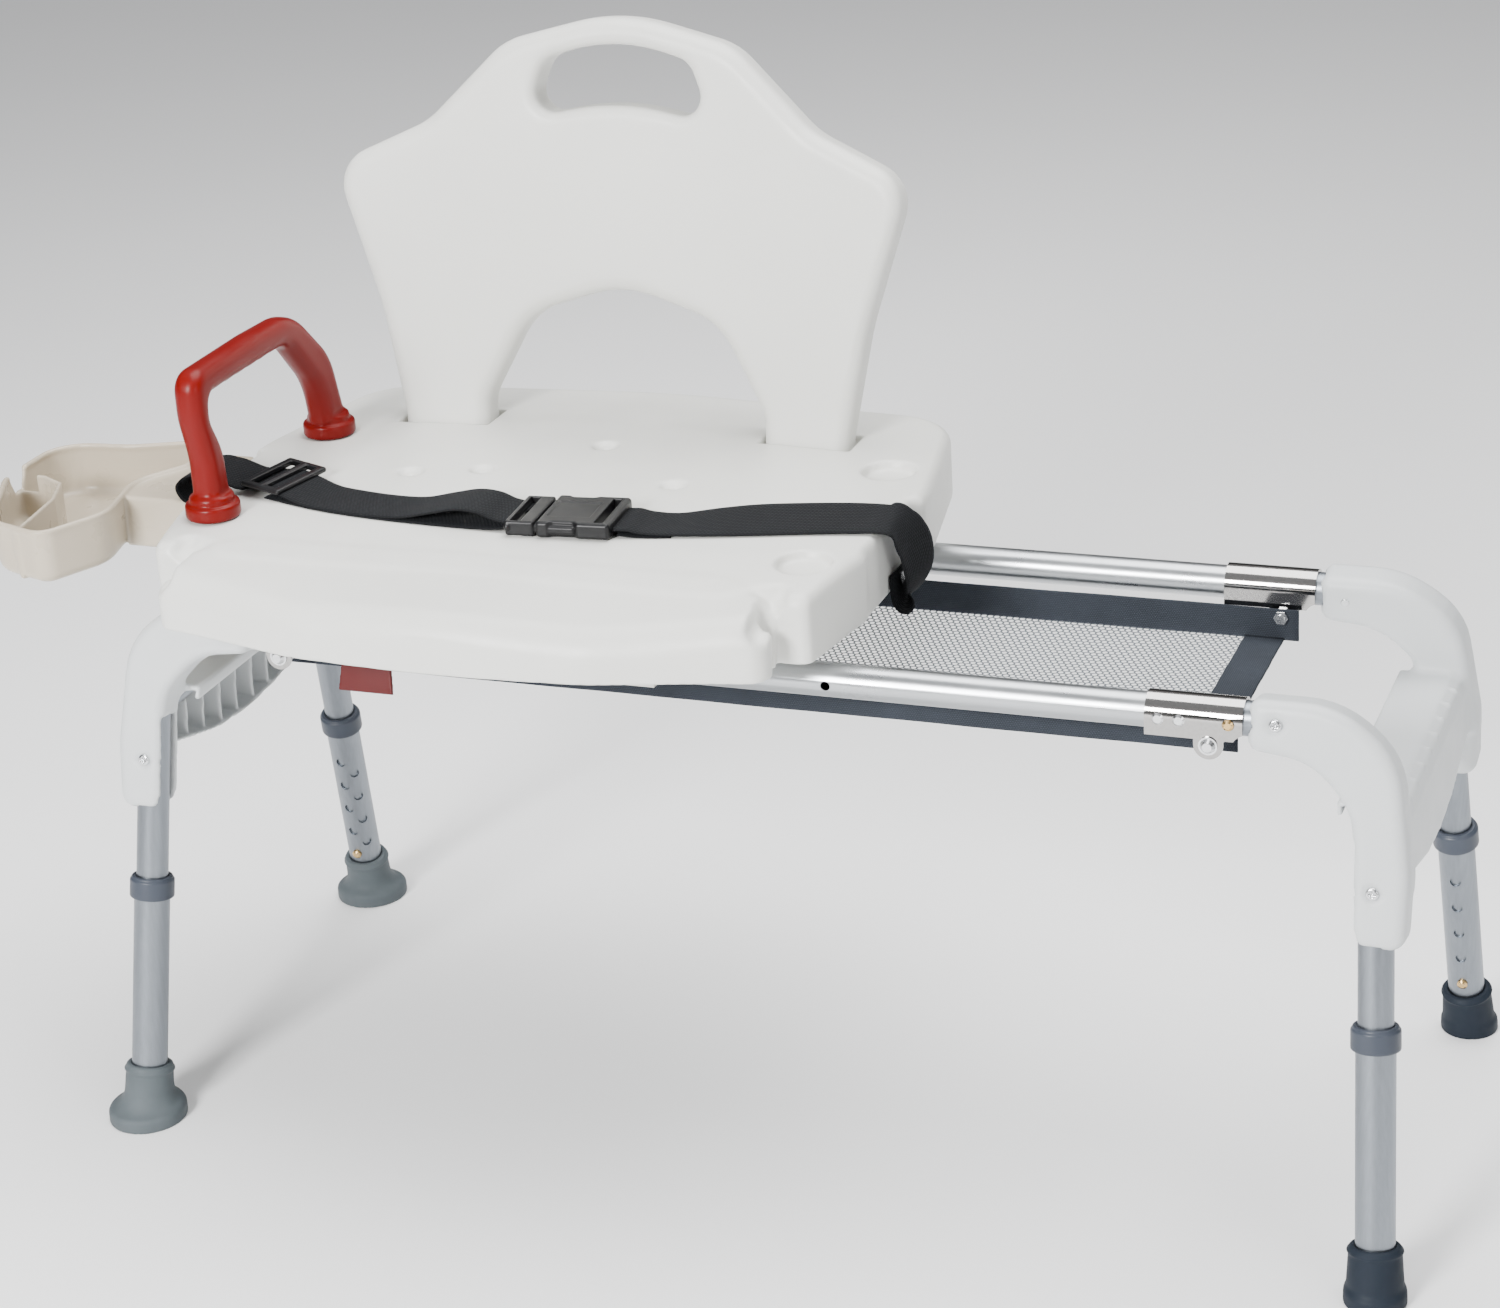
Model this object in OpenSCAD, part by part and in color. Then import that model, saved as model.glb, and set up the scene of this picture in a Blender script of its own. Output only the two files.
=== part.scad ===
/* [Rails] */
// Outside diameter of the two rails and of the upper leg tubes
rail_d = 25.4; // [24:0.1:27]
// Wall of the rails and leg tubes
tube_wall = 1.6; // [1.2:0.1:2]
// Distance between the two rail axes
rail_gap = 246.2; // [240:0.2:252]
// Height of the rail axes over the floor, legs at their shortest
rail_z = 406; // [396:1:416]
// Length of each rail
rail_len = 704; // [700:1:706]

/* [Seat] */
// Where the middle of the seat stands along the rails, to the left of the middle
seat_shift = 186; // [180:1:190]
// Height of the seat's underside over the floor
seat_bottom = 430; // [428:0.5:434]
// Height of the seat's top over the floor
seat_top = 487; // [484:0.5:490]
// Wall of the blow-moulded seat and backrest
shell_wall = 3; // [2.5:0.5:4]

/* [Backrest] */
// How far the backrest leans back, in degrees
back_lean = 7; // [4:0.5:10]
// Thickness of the backrest
back_thick = 36; // [30:1:38]
// Height of the backrest over the seat
back_rise = 330; // [326:1:336]
// Radius of the backrest's curve in plan
back_curve = 1800; // [1600:50:2400]

/* [Legs] */
// How far the legs lean out to the front and back, in degrees
leg_tilt = 11.2; // [10:0.2:12]
// How far the legs lean out to the ends, in degrees
leg_splay = 2.7; // [2:0.1:3.4]
// Middle radius of the bend in each upper leg tube
bend_r = 62; // [58:1:64]
// Outside diameter of the lower leg tubes
lower_d = 28.6; // [28.4:0.1:29.2]
// Spacing of the height holes in one column
hole_pitch = 25.4; // [25:0.1:26]
// Height of the lowest hole along the leg
first_hole = 56; // [54:1:58]

/* [Hinges] */
// Distance of the fold pivots from the middle of the frame
pivot_x = 363.8; // [363:0.2:364.6]
// How far the fold pivots sit under the rail axes
pivot_drop = 17; // [16.6:0.1:17.4]

/* [Belt] */
// Width of the belt webbing
belt_w = 48; // [40:1:50]
// Thickness of the belt webbing
belt_t = 2; // [1.6:0.1:2.2]

/* [Hidden] */
$fn = 64;

// Where the origin stands in the bench's own middle frame: under the middle of its whole box
middle = [-65.2, 7.6, 0];

rail_y = rail_gap / 2;
rail_r = rail_d / 2;
fit = 0.05;
gap = 0.3;

bracket_in = 318.4;
bracket_out = 387.9;
bracket_wall = 2;
bracket_r = rail_r + 0.3;
bracket_low = rail_z - rail_r;
pivot_z = rail_z - pivot_drop;
pivot_r = 3;
tab_r = 10.5;
rivet_x = [328, 343];
rivet_r = 3;

tube_end_x = 364;
corner_x = 478;
bend_x = round(10 * (corner_x - bend_r * tan((90 - leg_splay) / 2))) / 10;
fold_button_x = 378;
button_r = 4.1;
foot_x = bend_x + bend_r * cos(leg_splay) + leg_length() * sin(leg_splay);
foot_y = rail_y + rail_z * tan(leg_tilt);
lower_top = 196;
lower_bottom = 12;
upper_bottom = 40;
hole_r = 4.2;

web_top = 347;
web_x = 497;
web_wall = 3;
arm_half = 16.5;
cross_tube_z = 333;
cross_tube_d = 16;

seat_x = -seat_shift;
socket_u = 243;
socket_y = 98.5;
lock_x = -265;
lock_travel = 347;
lock_hole_r = 3.2;
block_spans = [[-312, -240], [-124, -50]];
block_half = 18;
back_y = 146;
belt_gap = 0.4;

// ---- outline helpers ----

function unit(v) = v / norm(v);
function wrapped(a) = a > 180 ? a - 360 : (a < -180 ? a + 360 : a);
function flat(p) = [p.x, p.y];

// The arc that rounds corner b between its neighbours a and c
function corner(a, b, c, r, n = 7) =
  let (
    u = unit(a - b),
    v = unit(c - b),
    half = acos(max(-1, min(1, u * v))) / 2,
    centre = b + unit(u + v) * r / sin(half),
    start = b + u * r / tan(half) - centre,
    stop = b + v * r / tan(half) - centre,
    from = atan2(start.y, start.x),
    turn = wrapped(atan2(stop.y, stop.x) - from)
  )
  r == 0 ? [b] : [for (i = [0:n]) centre + r * [cos(from + turn * i / n), sin(from + turn * i / n)]];

// An outline whose corners [x, y, radius] are rounded
function rounded(p) = [
  for (i = [0:len(p) - 1])
    each corner(flat(p[(i + len(p) - 1) % len(p)]), flat(p[i]), flat(p[(i + 1) % len(p)]), p[i][2])
];

// The right half of an outline and its mirror image, as one list
function both_halves(half) = concat(
  half,
  [for (i = [len(half) - 1:-1:0]) if (half[i].x != 0) [-half[i].x, half[i].y, half[i][2]]]
);

// An outline moved inwards by d, the outline running anticlockwise, or outwards when clockwise
function inset_by(p, d) = [
  for (i = [0:len(p) - 1])
    let (a = p[(i + len(p) - 1) % len(p)], b = p[(i + 1) % len(p)], along = unit(b - a))
    p[i] + d * [along.y, -along.x]
];

function beside(p, d) = [
  for (i = [0:len(p) - 1])
    let (along = unit(p[min(i + 1, len(p) - 1)] - p[max(i - 1, 0)]))
    p[i] + d * [-along.y, along.x]
];

function reversed(p) = [for (i = [len(p) - 1:-1:0]) p[i]];

// ---- placing helpers ----

module bench() translate(-middle) children();

module end(side) mirror([side < 0 ? 1 : 0, 0, 0]) children();

// The tilted plane of one leg: X along the rail, Z up the leg's plane, Y across it
module leg_plane(row)
  mirror([0, row < 0 ? 1 : 0, 0])
    translate([0, rail_y, rail_z])
      rotate([leg_tilt, 0, 0])
        children();

function leg_length() = (rail_z / cos(leg_tilt) - bend_r + bend_r * sin(leg_splay)) / cos(leg_splay);

// A place on the leg's axis at this height along it, with Z up the leg
module on_leg(height)
  translate([bend_x + bend_r * cos(leg_splay), 0, -bend_r + bend_r * sin(leg_splay)])
    rotate([0, -leg_splay, 0])
      translate([0, 0, height - leg_length()])
        children();

module along_x(length) rotate([0, 90, 0]) linear_extrude(length) children();

// The middle of the bend's circle, with X towards the place where the leg begins
module at_bend()
  translate([bend_x, 0, -bend_r]) rotate([90, 0, 0]) rotate([0, 0, leg_splay]) children();

// The straight parts run a little way into the bend, which is a trace thicker
module tube_path(d, from, to)
{
  overlap = 2;
  translate([from, 0, 0]) along_x(bend_x - from + overlap) circle(d = d);
  at_bend() rotate_extrude(angle = 90 - leg_splay) translate([bend_r, 0]) circle(d = d + 0.1);
  at_bend() translate([bend_r, overlap, 0]) rotate([90, 0, 0]) cylinder(d = d, h = leg_length() - to + overlap);
}

// ---- frame ----

module rail(row)
  translate([-rail_len / 2, row * rail_y, rail_z])
    difference() {
      along_x(rail_len) circle(r = rail_r);
      translate([-1, 0, 0]) along_x(rail_len + 2) circle(r = rail_r - tube_wall);
      for (x = rivet_x, side = [-1, 1])
        translate([rail_len / 2 + side * x, 0, 0])
          rotate([-90 * row, 0, 0]) cylinder(r = rivet_r, h = 20);
      if (row < 0)
        for (x = [lock_x, lock_x + lock_travel])
          translate([rail_len / 2 + x, 0, 0]) rotate([90, 0, 0]) cylinder(r = lock_hole_r + 0.4, h = 20);
    }

module rails() color("#c9ccd0") bench() for (row = [-1, 1]) rail(row);

module bracket_section()
{
  difference() {
    union() {
      circle(r = bracket_r + bracket_wall);
      translate([-bracket_r - bracket_wall, -60]) square([2 * (bracket_r + bracket_wall), 60]);
    }
    circle(r = bracket_r);
    translate([-bracket_r, -61]) square([2 * bracket_r, 61]);
  }
}

module bracket_side()
{
  difference() {
    translate([bracket_in, bracket_low]) square([bracket_out - bracket_in, 40]);
    translate([bracket_out + 4, bracket_low - 6]) circle(r = 12);
  }
  translate([pivot_x, pivot_z]) circle(r = tab_r);
  translate([pivot_x - tab_r, pivot_z]) square([2 * tab_r, pivot_drop]);
}

module bracket()
  difference() {
    intersection() {
      translate([0, rail_y, rail_z]) rotate([90, 0, 90]) linear_extrude(400) bracket_section();
      translate([0, rail_y + 40, 0]) rotate([90, 0, 0]) linear_extrude(80) bracket_side();
    }
    translate([pivot_x, rail_y - 40, pivot_z]) rotate([-90, 0, 0]) cylinder(r = pivot_r, h = 80);
    translate([fold_button_x, rail_y, rail_z]) rotate([-90, 0, 0]) cylinder(r = button_r + 0.3, h = 40);
    for (x = rivet_x)
      translate([x, rail_y, rail_z]) rotate([-90, 0, 0]) cylinder(r = rivet_r, h = 40);
  }

module each_corner()
  bench()
    for (side = [-1, 1], row = [-1, 1])
      end(side) mirror([0, row < 0 ? 1 : 0, 0]) children();

module hinge_brackets() color("#b9bbbd") each_corner() bracket();

module bracket_rivets()
  color("#9a9da0")
    each_corner()
      for (x = rivet_x)
        translate([x, rail_y, rail_z]) rotate([-90, 0, 0]) {
          translate([0, 0, rail_r - 2.2]) cylinder(r = rivet_r, h = 5.5);
          translate([0, 0, bracket_r + bracket_wall]) cylinder(r1 = 4.4, r2 = 3, h = 1.1);
        }

bolt_head = rail_y + bracket_r + bracket_wall;
bolt_tip = rail_y - bracket_r - bracket_wall;
net_y = bolt_tip - 3.2;
band_t = 1.8;

module pivot_bolts()
  color("#d6d8da")
    each_corner()
      translate([pivot_x, 0, pivot_z]) rotate([-90, 0, 0]) {
        translate([0, 0, net_y - 7.5]) cylinder(r = pivot_r, h = bolt_head - net_y + 7.5);
        translate([0, 0, bolt_head]) cylinder(r = 6.8, h = 1.2);
        translate([0, 0, bolt_head + 1.2]) cylinder(r1 = 5.6, r2 = 3.4, h = 2.8);
      }

module pivot_nuts()
  color("#d6d8da")
    each_corner()
      translate([pivot_x, 0, pivot_z]) rotate([-90, 0, 0]) {
        translate([0, 0, bolt_tip - 3]) difference() {
          cylinder(r = 5.6, h = 2.9, $fn = 6);
          translate([0, 0, -1]) cylinder(r = pivot_r, h = 6);
        }
        translate([0, 0, net_y - band_t - 4.4]) difference() {
          cylinder(r = 5.6, h = 4.2, $fn = 6);
          translate([0, 0, -1]) cylinder(r = pivot_r, h = 8);
        }
      }

// ---- sling between the rails ----

sling_x = 377;
band_w = 25;
net_z = pivot_z - 19;

module side_band()
  difference() {
    translate([-sling_x, net_y - band_t, net_z]) cube([2 * sling_x, band_t, band_w]);
    for (side = [-1, 1])
      translate([side * pivot_x, net_y - 10, pivot_z]) rotate([-90, 0, 0]) cylinder(r = pivot_r + 0.3, h = 20);
  }

module end_band()
  translate([336, -net_y + band_t + gap, net_z]) cube([30, 2 * (net_y - band_t - gap), band_t]);

module sling_binding()
  color("#3c4149")
    bench() {
      for (row = [0, 1]) mirror([0, row, 0]) side_band();
      for (side = [-1, 1]) end(side) end_band();
    }

module sling_net()
  color("#aeb4bb")
    bench()
      translate([-335.5, -net_y + band_t + gap, net_z])
        cube([671, 2 * (net_y - band_t - gap), 1.2]);

// ---- seat ----

seat_half = [
  [0, 252, 500], [258, 229, 60], [288, 60, 200], [284, -60, 300], [264, -155, 10], [243, -157, 6],
  [247, -191, 15], [205, -201, 60], [118, -223, 120], [0, -231, 900]
];

module seat_outline(inset = 0)
{
  corners = both_halves(seat_half);
  polygon(rounded([for (c = corners) [c.x * (1 - inset / 270), c.y * (1 - inset / 205), c[2]]]));
}

leg_slots = [121, 196];
slope_start = -122;
front_slope = 9;

module back_leg_slots(grow)
  intersection() {
    for (side = [0, 1])
      mirror([side, 0, 0])
        translate([leg_slots[0] - grow, -40, -45.6 - grow])
          cube([leg_slots[1] - leg_slots[0] + 2 * grow, 120, 80]);
    back_band(grow);
  }

screw_seat_y = 232;

// The two screws that come from the back of the seat into the backrest's legs
module back_screw_places()
  for (side = [-1, 1])
    translate([seat_x + side * 158, 156, seat_bottom + 22]) rotate([-90, 0, 0]) children();

module at_back() translate([seat_x, back_y, seat_top]) rotate([-back_lean, 0, 0]) children();

pocket_wall = 3;
peg_y = [-62, 30];
rivet_places = [[-1, -32, 450], [1, 3.2, 438]];

// At a belt rivet, with Z out of the seat's side
module at_rivet(p) translate([seat_x + p[0] * 280, p[1], p[2]]) rotate([0, p[0] * 90, 0]) children();

module seat_pockets(grow)
{
  for (side = [-1, 1], row = [-1, 1])
    translate([seat_x + side * socket_u, row * socket_y, seat_top - 40 - grow]) cylinder(r = 15 + grow, h = 60);
  for (row = [-1, 1])
    translate([seat_x + socket_u, row * socket_y, seat_top - 8 - grow]) cylinder(r = 21 + grow, h = 20);
  at_back() back_leg_slots(0.4 + grow);
  for (y = peg_y)
    translate([seat_x - 290, y, 460]) along_x(32 + grow) circle(r = 4.1 + grow);
  for (side = [-1, 1])
    translate([seat_x + side * 288 - 8 - grow, -70 - grow, seat_bottom - 2])
      cube([16 + 2 * grow, 118 + 2 * grow, 70]);
}

// Everything above the front of the seat, which slopes down to the knees
module above_front(drop)
  translate([seat_x, slope_start, seat_top - drop])
    rotate([front_slope, 0, 0]) translate([-400, -200, 0]) cube([800, 200, 60]);

module seat_shell()
  color("#dededa")
    bench()
      difference() {
        translate([seat_x, 0, seat_bottom]) linear_extrude(seat_top - seat_bottom) seat_outline();
        above_front(0);
        difference() {
          translate([seat_x, 0, seat_bottom + shell_wall])
            linear_extrude(seat_top - seat_bottom - 2 * shell_wall)
              seat_outline(shell_wall);
          above_front(shell_wall);
          seat_pockets(pocket_wall);
          for (span = block_spans, row = [-1, 1], x = [span[0] + 12, span[1] - 12])
            translate([x, row * (rail_y - 22), seat_bottom]) cylinder(r = 6, h = 20);
          back_screw_places() cylinder(r = 11, h = 100);
          for (p = rivet_places) at_rivet(p) translate([0, 0, -13]) cylinder(r = 6, h = 14);
        }
        seat_pockets(0);
        for (p = rivet_places) at_rivet(p) translate([0, 0, -10]) cylinder(r = 2.4, h = 12);
        for (span = block_spans, row = [-1, 1], x = [span[0] + 12, span[1] - 12])
          translate([x, row * (rail_y - 22), seat_bottom - 1]) cylinder(r = 2.5, h = 16);
        for (side = [-1, 1])
          translate([seat_x - socket_u, side * socket_y, seat_bottom - 1]) cylinder(r = 3.2, h = 30);
        back_screw_places() {
          cylinder(r = 3.1, h = 120);
          translate([0, 0, screw_seat_y - 156]) cylinder(r = 7, h = 30);
        }
      }

// ---- backrest ----

back_half = [
  [0, back_rise + 6, 160], [98, back_rise - 19, 60], [166, 246, 70], [248, 210, 32],
  [212, 95, 200], [194, 0, 60], [leg_slots[1], -45, 6], [leg_slots[0], -45, 6], [121, 20, 30],
  [82, 92, 60], [0, 118, 90]
];
hand_hole = [
  [-80, 250, 16], [0, 266, 200], [80, 250, 16], [62, 298, 20], [0, 316, 150], [-62, 298, 20]
];

module back_band(grow)
  translate([0, -back_curve, -60]) difference() {
    cylinder(r = back_curve + back_thick + grow, h = 500, $fn = 200);
    translate([0, 0, -1]) cylinder(r = back_curve - grow, h = 502, $fn = 200);
  }

module back_slab(inset)
  intersection() {
    translate([0, 60, 0]) rotate([90, 0, 0]) linear_extrude(120) difference() {
      polygon(inset_by(rounded(both_halves(back_half)), inset));
      polygon(inset_by(rounded(hand_hole), inset));
    }
    back_band(-inset);
  }

module backrest()
  color("#e2e2de")
    bench() difference() {
      at_back() difference() {
        back_slab(0);
        back_slab(shell_wall);
      }
      back_screw_places() cylinder(r = 3.1, h = 60);
    }

module backrest_screws()
  color("#cfd1d3")
    bench() back_screw_places() {
      translate([0, 0, 14]) cylinder(r = 3, h = screw_seat_y - 170);
      translate([0, 0, screw_seat_y - 156]) cylinder(r = 6, h = 3.5);
    }

// ---- grab handle ----

handle_x = seat_x - socket_u;
handle_t = 24;
handle_outer = [
  [-112, 494, 0], [-112, 535, 60], [-121, 570, 60], [-120, 607, 18], [-20, 608, 200], [46, 606, 60],
  [98, 556, 60], [113, 494, 0]
];
handle_inner = [
  [80, 494, 0], [74, 534, 60], [30, 584, 24], [-98, 584, 9], [-100, 566, 20], [-86, 538, 60], [-84, 494, 0]
];

module handle_foot()
{
  translate([0, 0, seat_top]) cylinder(r = 21.5, h = 11);
  translate([0, 0, seat_top + 11]) cylinder(r1 = 21.5, r2 = 17.5, h = 4);
  translate([0, 0, seat_top - 38]) cylinder(r = 14.9, h = 39);
}

module grab_handle()
  color("#b8322c")
    bench()
      difference() {
        union() {
          translate([handle_x - handle_t / 2, 0, 0]) rotate([90, 0, 90]) linear_extrude(handle_t)
            polygon(concat(rounded(handle_outer), rounded(handle_inner)));
          for (row = [-1, 1]) translate([handle_x, row * socket_y, 0]) handle_foot();
        }
        for (row = [-1, 1]) translate([handle_x, row * socket_y, seat_top - 39]) cylinder(r = 2, h = 24);
      }

module handle_screws()
  color("#cfd1d3")
    bench()
      for (row = [-1, 1])
        translate([handle_x, row * socket_y, 0]) {
          translate([0, 0, seat_bottom - 3]) cylinder(r = 5.5, h = 3);
          translate([0, 0, seat_bottom]) cylinder(r = 2, h = seat_top - seat_bottom - 20);
        }

// ---- hand-shower tray ----

tray_low = 440;
tray_high = 485;
tray_corners = [
  [-548, -162, 16], [-606, -142, 40], [-650, -50, 70], [-650, 36, 34], [-585, 42, 60],
  [-535, 62, 20], [-508, 50, 12], [-512, 5, 20], [-536, -35, 40], [-520, -105, 40]
];
cup_wall = [[-655, -34], [-622, -34], [-600, -46], [-586, -80], [-580, -120], [-574, -170]];
tray_wall = 3;
tongue_y = [-68, 44];

module tray_bowl(inset, from, to)
  translate([0, 0, from]) linear_extrude(to - from) polygon(inset_by(rounded(tray_corners), inset));

module shower_tray()
  color("#e0d8c8")
    bench()
      difference() {
        union() {
          difference() {
            tray_bowl(0, tray_low, tray_high);
            tray_bowl(tray_wall, tray_low + tray_wall, tray_high + 1);
          }
          intersection() {
            tray_bowl(1, tray_low + 1, tray_high - 1);
            translate([0, 0, tray_low + 1]) linear_extrude(tray_high - tray_low - 2)
              polygon(concat(beside(cup_wall, 1.5), reversed(beside(cup_wall, -1.5))));
          }
          difference() {
            translate([-538, tongue_y[0], tray_low]) cube([68.4, tongue_y[1] - tongue_y[0], tray_high - tray_low - 3]);
            translate([-535, tongue_y[0] + 3, tray_low + 3])
              cube([62.4, tongue_y[1] - tongue_y[0] - 6, tray_high - tray_low - 9]);
            tray_bowl(1, tray_low - 2, tray_high + 1);
          }
          for (y = peg_y) translate([-472, y, 460]) along_x(26) circle(r = 4);
        }
        translate([-660, -48, tray_high - 20]) cube([34, 20, 30]);
      }

// ---- slide blocks and rail lock ----

module slide_block(from, to, row)
  difference() {
    union() {
      translate([from, row * rail_y - block_half, rail_z - 11.5])
        cube([to - from, 2 * block_half, seat_bottom - rail_z + 11.5]);
      translate([from, row * (rail_y - 22) - 8, seat_bottom - 5]) cube([to - from, 16, 5]);
    }
    translate([from - 1, row * rail_y, rail_z]) along_x(to - from + 2) circle(r = rail_r + 0.08);
    for (x = [from + 12, to - 12])
      translate([x, row * (rail_y - 22), seat_bottom - 8]) cylinder(r = 2.5, h = 10);
    if (row < 0 && from < lock_x)
      translate([lock_x, -rail_y, rail_z]) rotate([90, 0, 0]) cylinder(r = lock_hole_r + fit, h = 30);
  }

module slide_blocks()
  color("#d8d8d2")
    bench()
      for (span = block_spans, row = [-1, 1]) slide_block(span[0], span[1], row);

module slide_block_screws()
  color("#cfd1d3")
    bench()
      for (span = block_spans, row = [-1, 1], x = [span[0] + 12, span[1] - 12])
        translate([x, row * (rail_y - 22), seat_bottom - 5]) {
          translate([0, 0, -3]) cylinder(r = 4, h = 3);
          cylinder(r = 2.5, h = 15);
        }

lever_y = -152;
lever_z = 420;
lever_w = 44;
lever_r = 5;
pin_drop = lever_z - rail_z;
nose_r = 2.2;
head_y = lever_y - nose_r - 0.1;
pin_tip_y = -rail_y - rail_r + tube_wall + 1;

module across(x, width) translate([x - width / 2, 0, 0]) rotate([90, 0, 90]) linear_extrude(width) children();

module lock_housing()
  color("#c9cac6")
    bench() {
      translate([lock_x - 29, -167, seat_bottom - 3]) cube([58, 25, 3]);
      for (side = [-1, 1])
        difference() {
          across(lock_x + side * 27, 4) union() {
            translate([lever_y - 6, lever_z]) square([12, seat_bottom - lever_z - 1]);
            translate([lever_y, lever_z]) circle(r = 6);
          }
          across(lock_x + side * 27, 6) translate([lever_y, lever_z]) circle(r = 2);
        }
    }

module lever_pivot_pin() color("#cfd1d3") bench() across(lock_x, 60) translate([lever_y, lever_z]) circle(r = 2);

module lever_side()
  difference() {
    union() {
      translate([lever_y, lever_z]) circle(r = lever_r);
      polygon(rounded([
        [lever_y, lever_z + lever_r, 0], [-181, 418, 5], [-187, 389, 1.2], [-183, 389, 1.2],
        [-177, 414, 3], [lever_y, lever_z, 0]
      ]));
    }
    translate([lever_y, lever_z]) circle(r = 2 + fit);
  }

module lever_prong()
  difference() {
    union() {
      translate([lever_y, lever_z]) circle(r = lever_r);
      translate([lever_y - nose_r, rail_z]) square([2 * nose_r, pin_drop]);
      translate([lever_y, rail_z]) circle(r = nose_r);
    }
    translate([lever_y, lever_z]) circle(r = 2 + fit);
  }

module lock_lever()
  color("#8c2f2a")
    bench() {
      for (side = [-1, 1]) {
        across(lock_x + side * 13.5, 17) lever_side();
        across(lock_x + side * 6.5, 4) lever_prong();
      }
      across(lock_x, 12) polygon([[-179, 418.4], [-187, 389.6], [-183, 389.6], [-175.4, 414]]);
    }

module lock_pin_spring()
  color("#cfd1d3")
    bench() {
      translate([lock_x, 0, rail_z]) rotate([90, 0, 0]) {
        translate([0, 0, -pin_tip_y]) cylinder(r = lock_hole_r, h = pin_tip_y - head_y);
        translate([0, 0, -head_y]) cylinder(r = 8.5, h = 2);
      }
      translate([0, 0, rail_z - 4]) linear_extrude(8)
        polygon([
          [lock_x + 6, head_y - 2], [lock_x + 6, head_y - 2.8], [-297.5, head_y - 2.8], [-301.5, -142],
          [-311.5, -142], [-311.5, -141.2], [-300.9, -141.2], [-296.9, head_y - 2]
        ]);
    }

// ---- belt ----

// A strap along [x, y, z, yaw] points, belt_w wide and belt_t thick
function place(p) = [p.x, p.y, p.z];
function strap_along(p, i) = unit(place(p[min(i + 1, len(p) - 1)]) - place(p[max(i - 1, 0)]));
function strap_side(p, i) = [-sin(p[i][3]), cos(p[i][3]), 0];
function strap_up(p, i) = unit(cross(strap_along(p, i), strap_side(p, i)));
function strap_ring(p, i) = [
  for (c = [[-1, -1], [1, -1], [1, 1], [-1, 1]])
    place(p[i]) + c.x * belt_w / 2 * strap_side(p, i) + c.y * belt_t / 2 * strap_up(p, i)
];

module strap(p)
{
  last = len(p) - 1;
  polyhedron(
    points = [for (i = [0:last]) each strap_ring(p, i)],
    faces = concat(
      [[0, 1, 2, 3]],
      [for (i = [0:last - 1], k = [0:3]) [4 * i + k, 4 * i + 4 + k, 4 * i + 4 + (k + 1) % 4, 4 * i + (k + 1) % 4]],
      [[4 * last + 3, 4 * last + 2, 4 * last + 1, 4 * last]]
    )
  );
}

left_edge = seat_x - 280;
right_edge = seat_x + 280;
lies = seat_top + belt_gap + belt_t / 2;
buckle_x = -142;
buckle_y = -66;
buckle_len = 80;
left_strap_route = [
  [left_edge - 1.6, -32, 442, 0], [left_edge - 1.6, -32, 484, 0], [left_edge - 1, -32, 487.6, 0],
  [left_edge + 3, -32, lies + 0.4, 0], [-440, -33, lies, -4], [-400, -39, lies, -10], [-350, -52, lies, -10],
  [-310, -59, lies, -6], [-270, -62, lies + 1, -2], [-250, -62, lies + 6, 0], [-230, -62, lies + 12, 0],
  [-212, -64, lies + 12, 1], [-198, -67, lies + 7, 4], [buckle_x - buckle_len / 2 + 1, buckle_y - 3.4, lies + 5, 5]
];
right_strap_route = [
  [buckle_x + buckle_len / 2 - 1, -63, lies + 5, 6], [-80, -58, lies + 1, 8], [-40, -49, lies, 10],
  [0, -38, lies, 12], [40, -27, lies, 10], [75, -19, lies, 6], [right_edge - 1, -16, lies + 0.6, 0],
  [right_edge + 5, -15, 484, 0], [right_edge + 9, -13, 470, 0], [right_edge + 10, -10, 450, 0],
  [right_edge + 9, -6, 430, 0], [right_edge + 6, -2, 420, 0], [right_edge + 3, 0, 420, 0],
  [right_edge + 1.5, 2, 426, 0], [right_edge + 1.4, 4, 446, 0]
];

module riveted_strap(route, rivet)
  color("#1d1e21")
    bench() difference() {
      strap(route);
      at_rivet(rivet) translate([0, 0, -4]) cylinder(r = 2.4, h = 9);
    }

module belt_left_strap() riveted_strap(left_strap_route, rivet_places[0]);

module belt_right_strap() riveted_strap(right_strap_route, rivet_places[1]);

module belt_slide_buckle()
  color("#18191b")
    bench()
      translate([-400, -39, lies + belt_t / 2 + 0.2]) rotate([0, 0, -12]) difference() {
        translate([-17, -30, 0]) cube([34, 60, 4]);
        for (side = [-1, 1]) translate([side * 7 - 4.5, -26, -1]) cube([9, 52, 6]);
      }

module buckle_plug()
  color("#18191b")
    bench()
      translate([buckle_x, buckle_y, lies]) rotate([0, 0, 5]) {
        difference() {
          translate([-42, -29, -1]) cube([24, 58, 12]);
          translate([-48, -25.5, 2]) cube([20, 51, 6]);
        }
        translate([-18.1, -6, 2]) cube([30, 12, 6]);
        for (side = [-1, 1]) translate([-18.1, side * 22 - 5, 2]) cube([36, 10, 6]);
      }

module buckle_socket()
  color("#18191b")
    bench()
      translate([buckle_x, buckle_y, lies]) rotate([0, 0, 5])
        difference() {
          translate([-17.6, -31, -1]) cube([58, 62, 13]);
          translate([-18, -28, 1.6]) cube([38, 56, 7]);
          translate([-6, -32, 1.6]) cube([20, 64, 7]);
          translate([30, -25.5, 2]) cube([20, 51, 6]);
        }

module belt_rivets()
  color("#c7c9cb")
    bench()
      for (p = rivet_places)
        at_rivet(p) {
          translate([0, 0, -10]) cylinder(r = 2.4, h = 13);
          translate([0, 0, 2.7]) cylinder(r = 5, h = 0.8);
        }

// ---- folding ends ----

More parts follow.
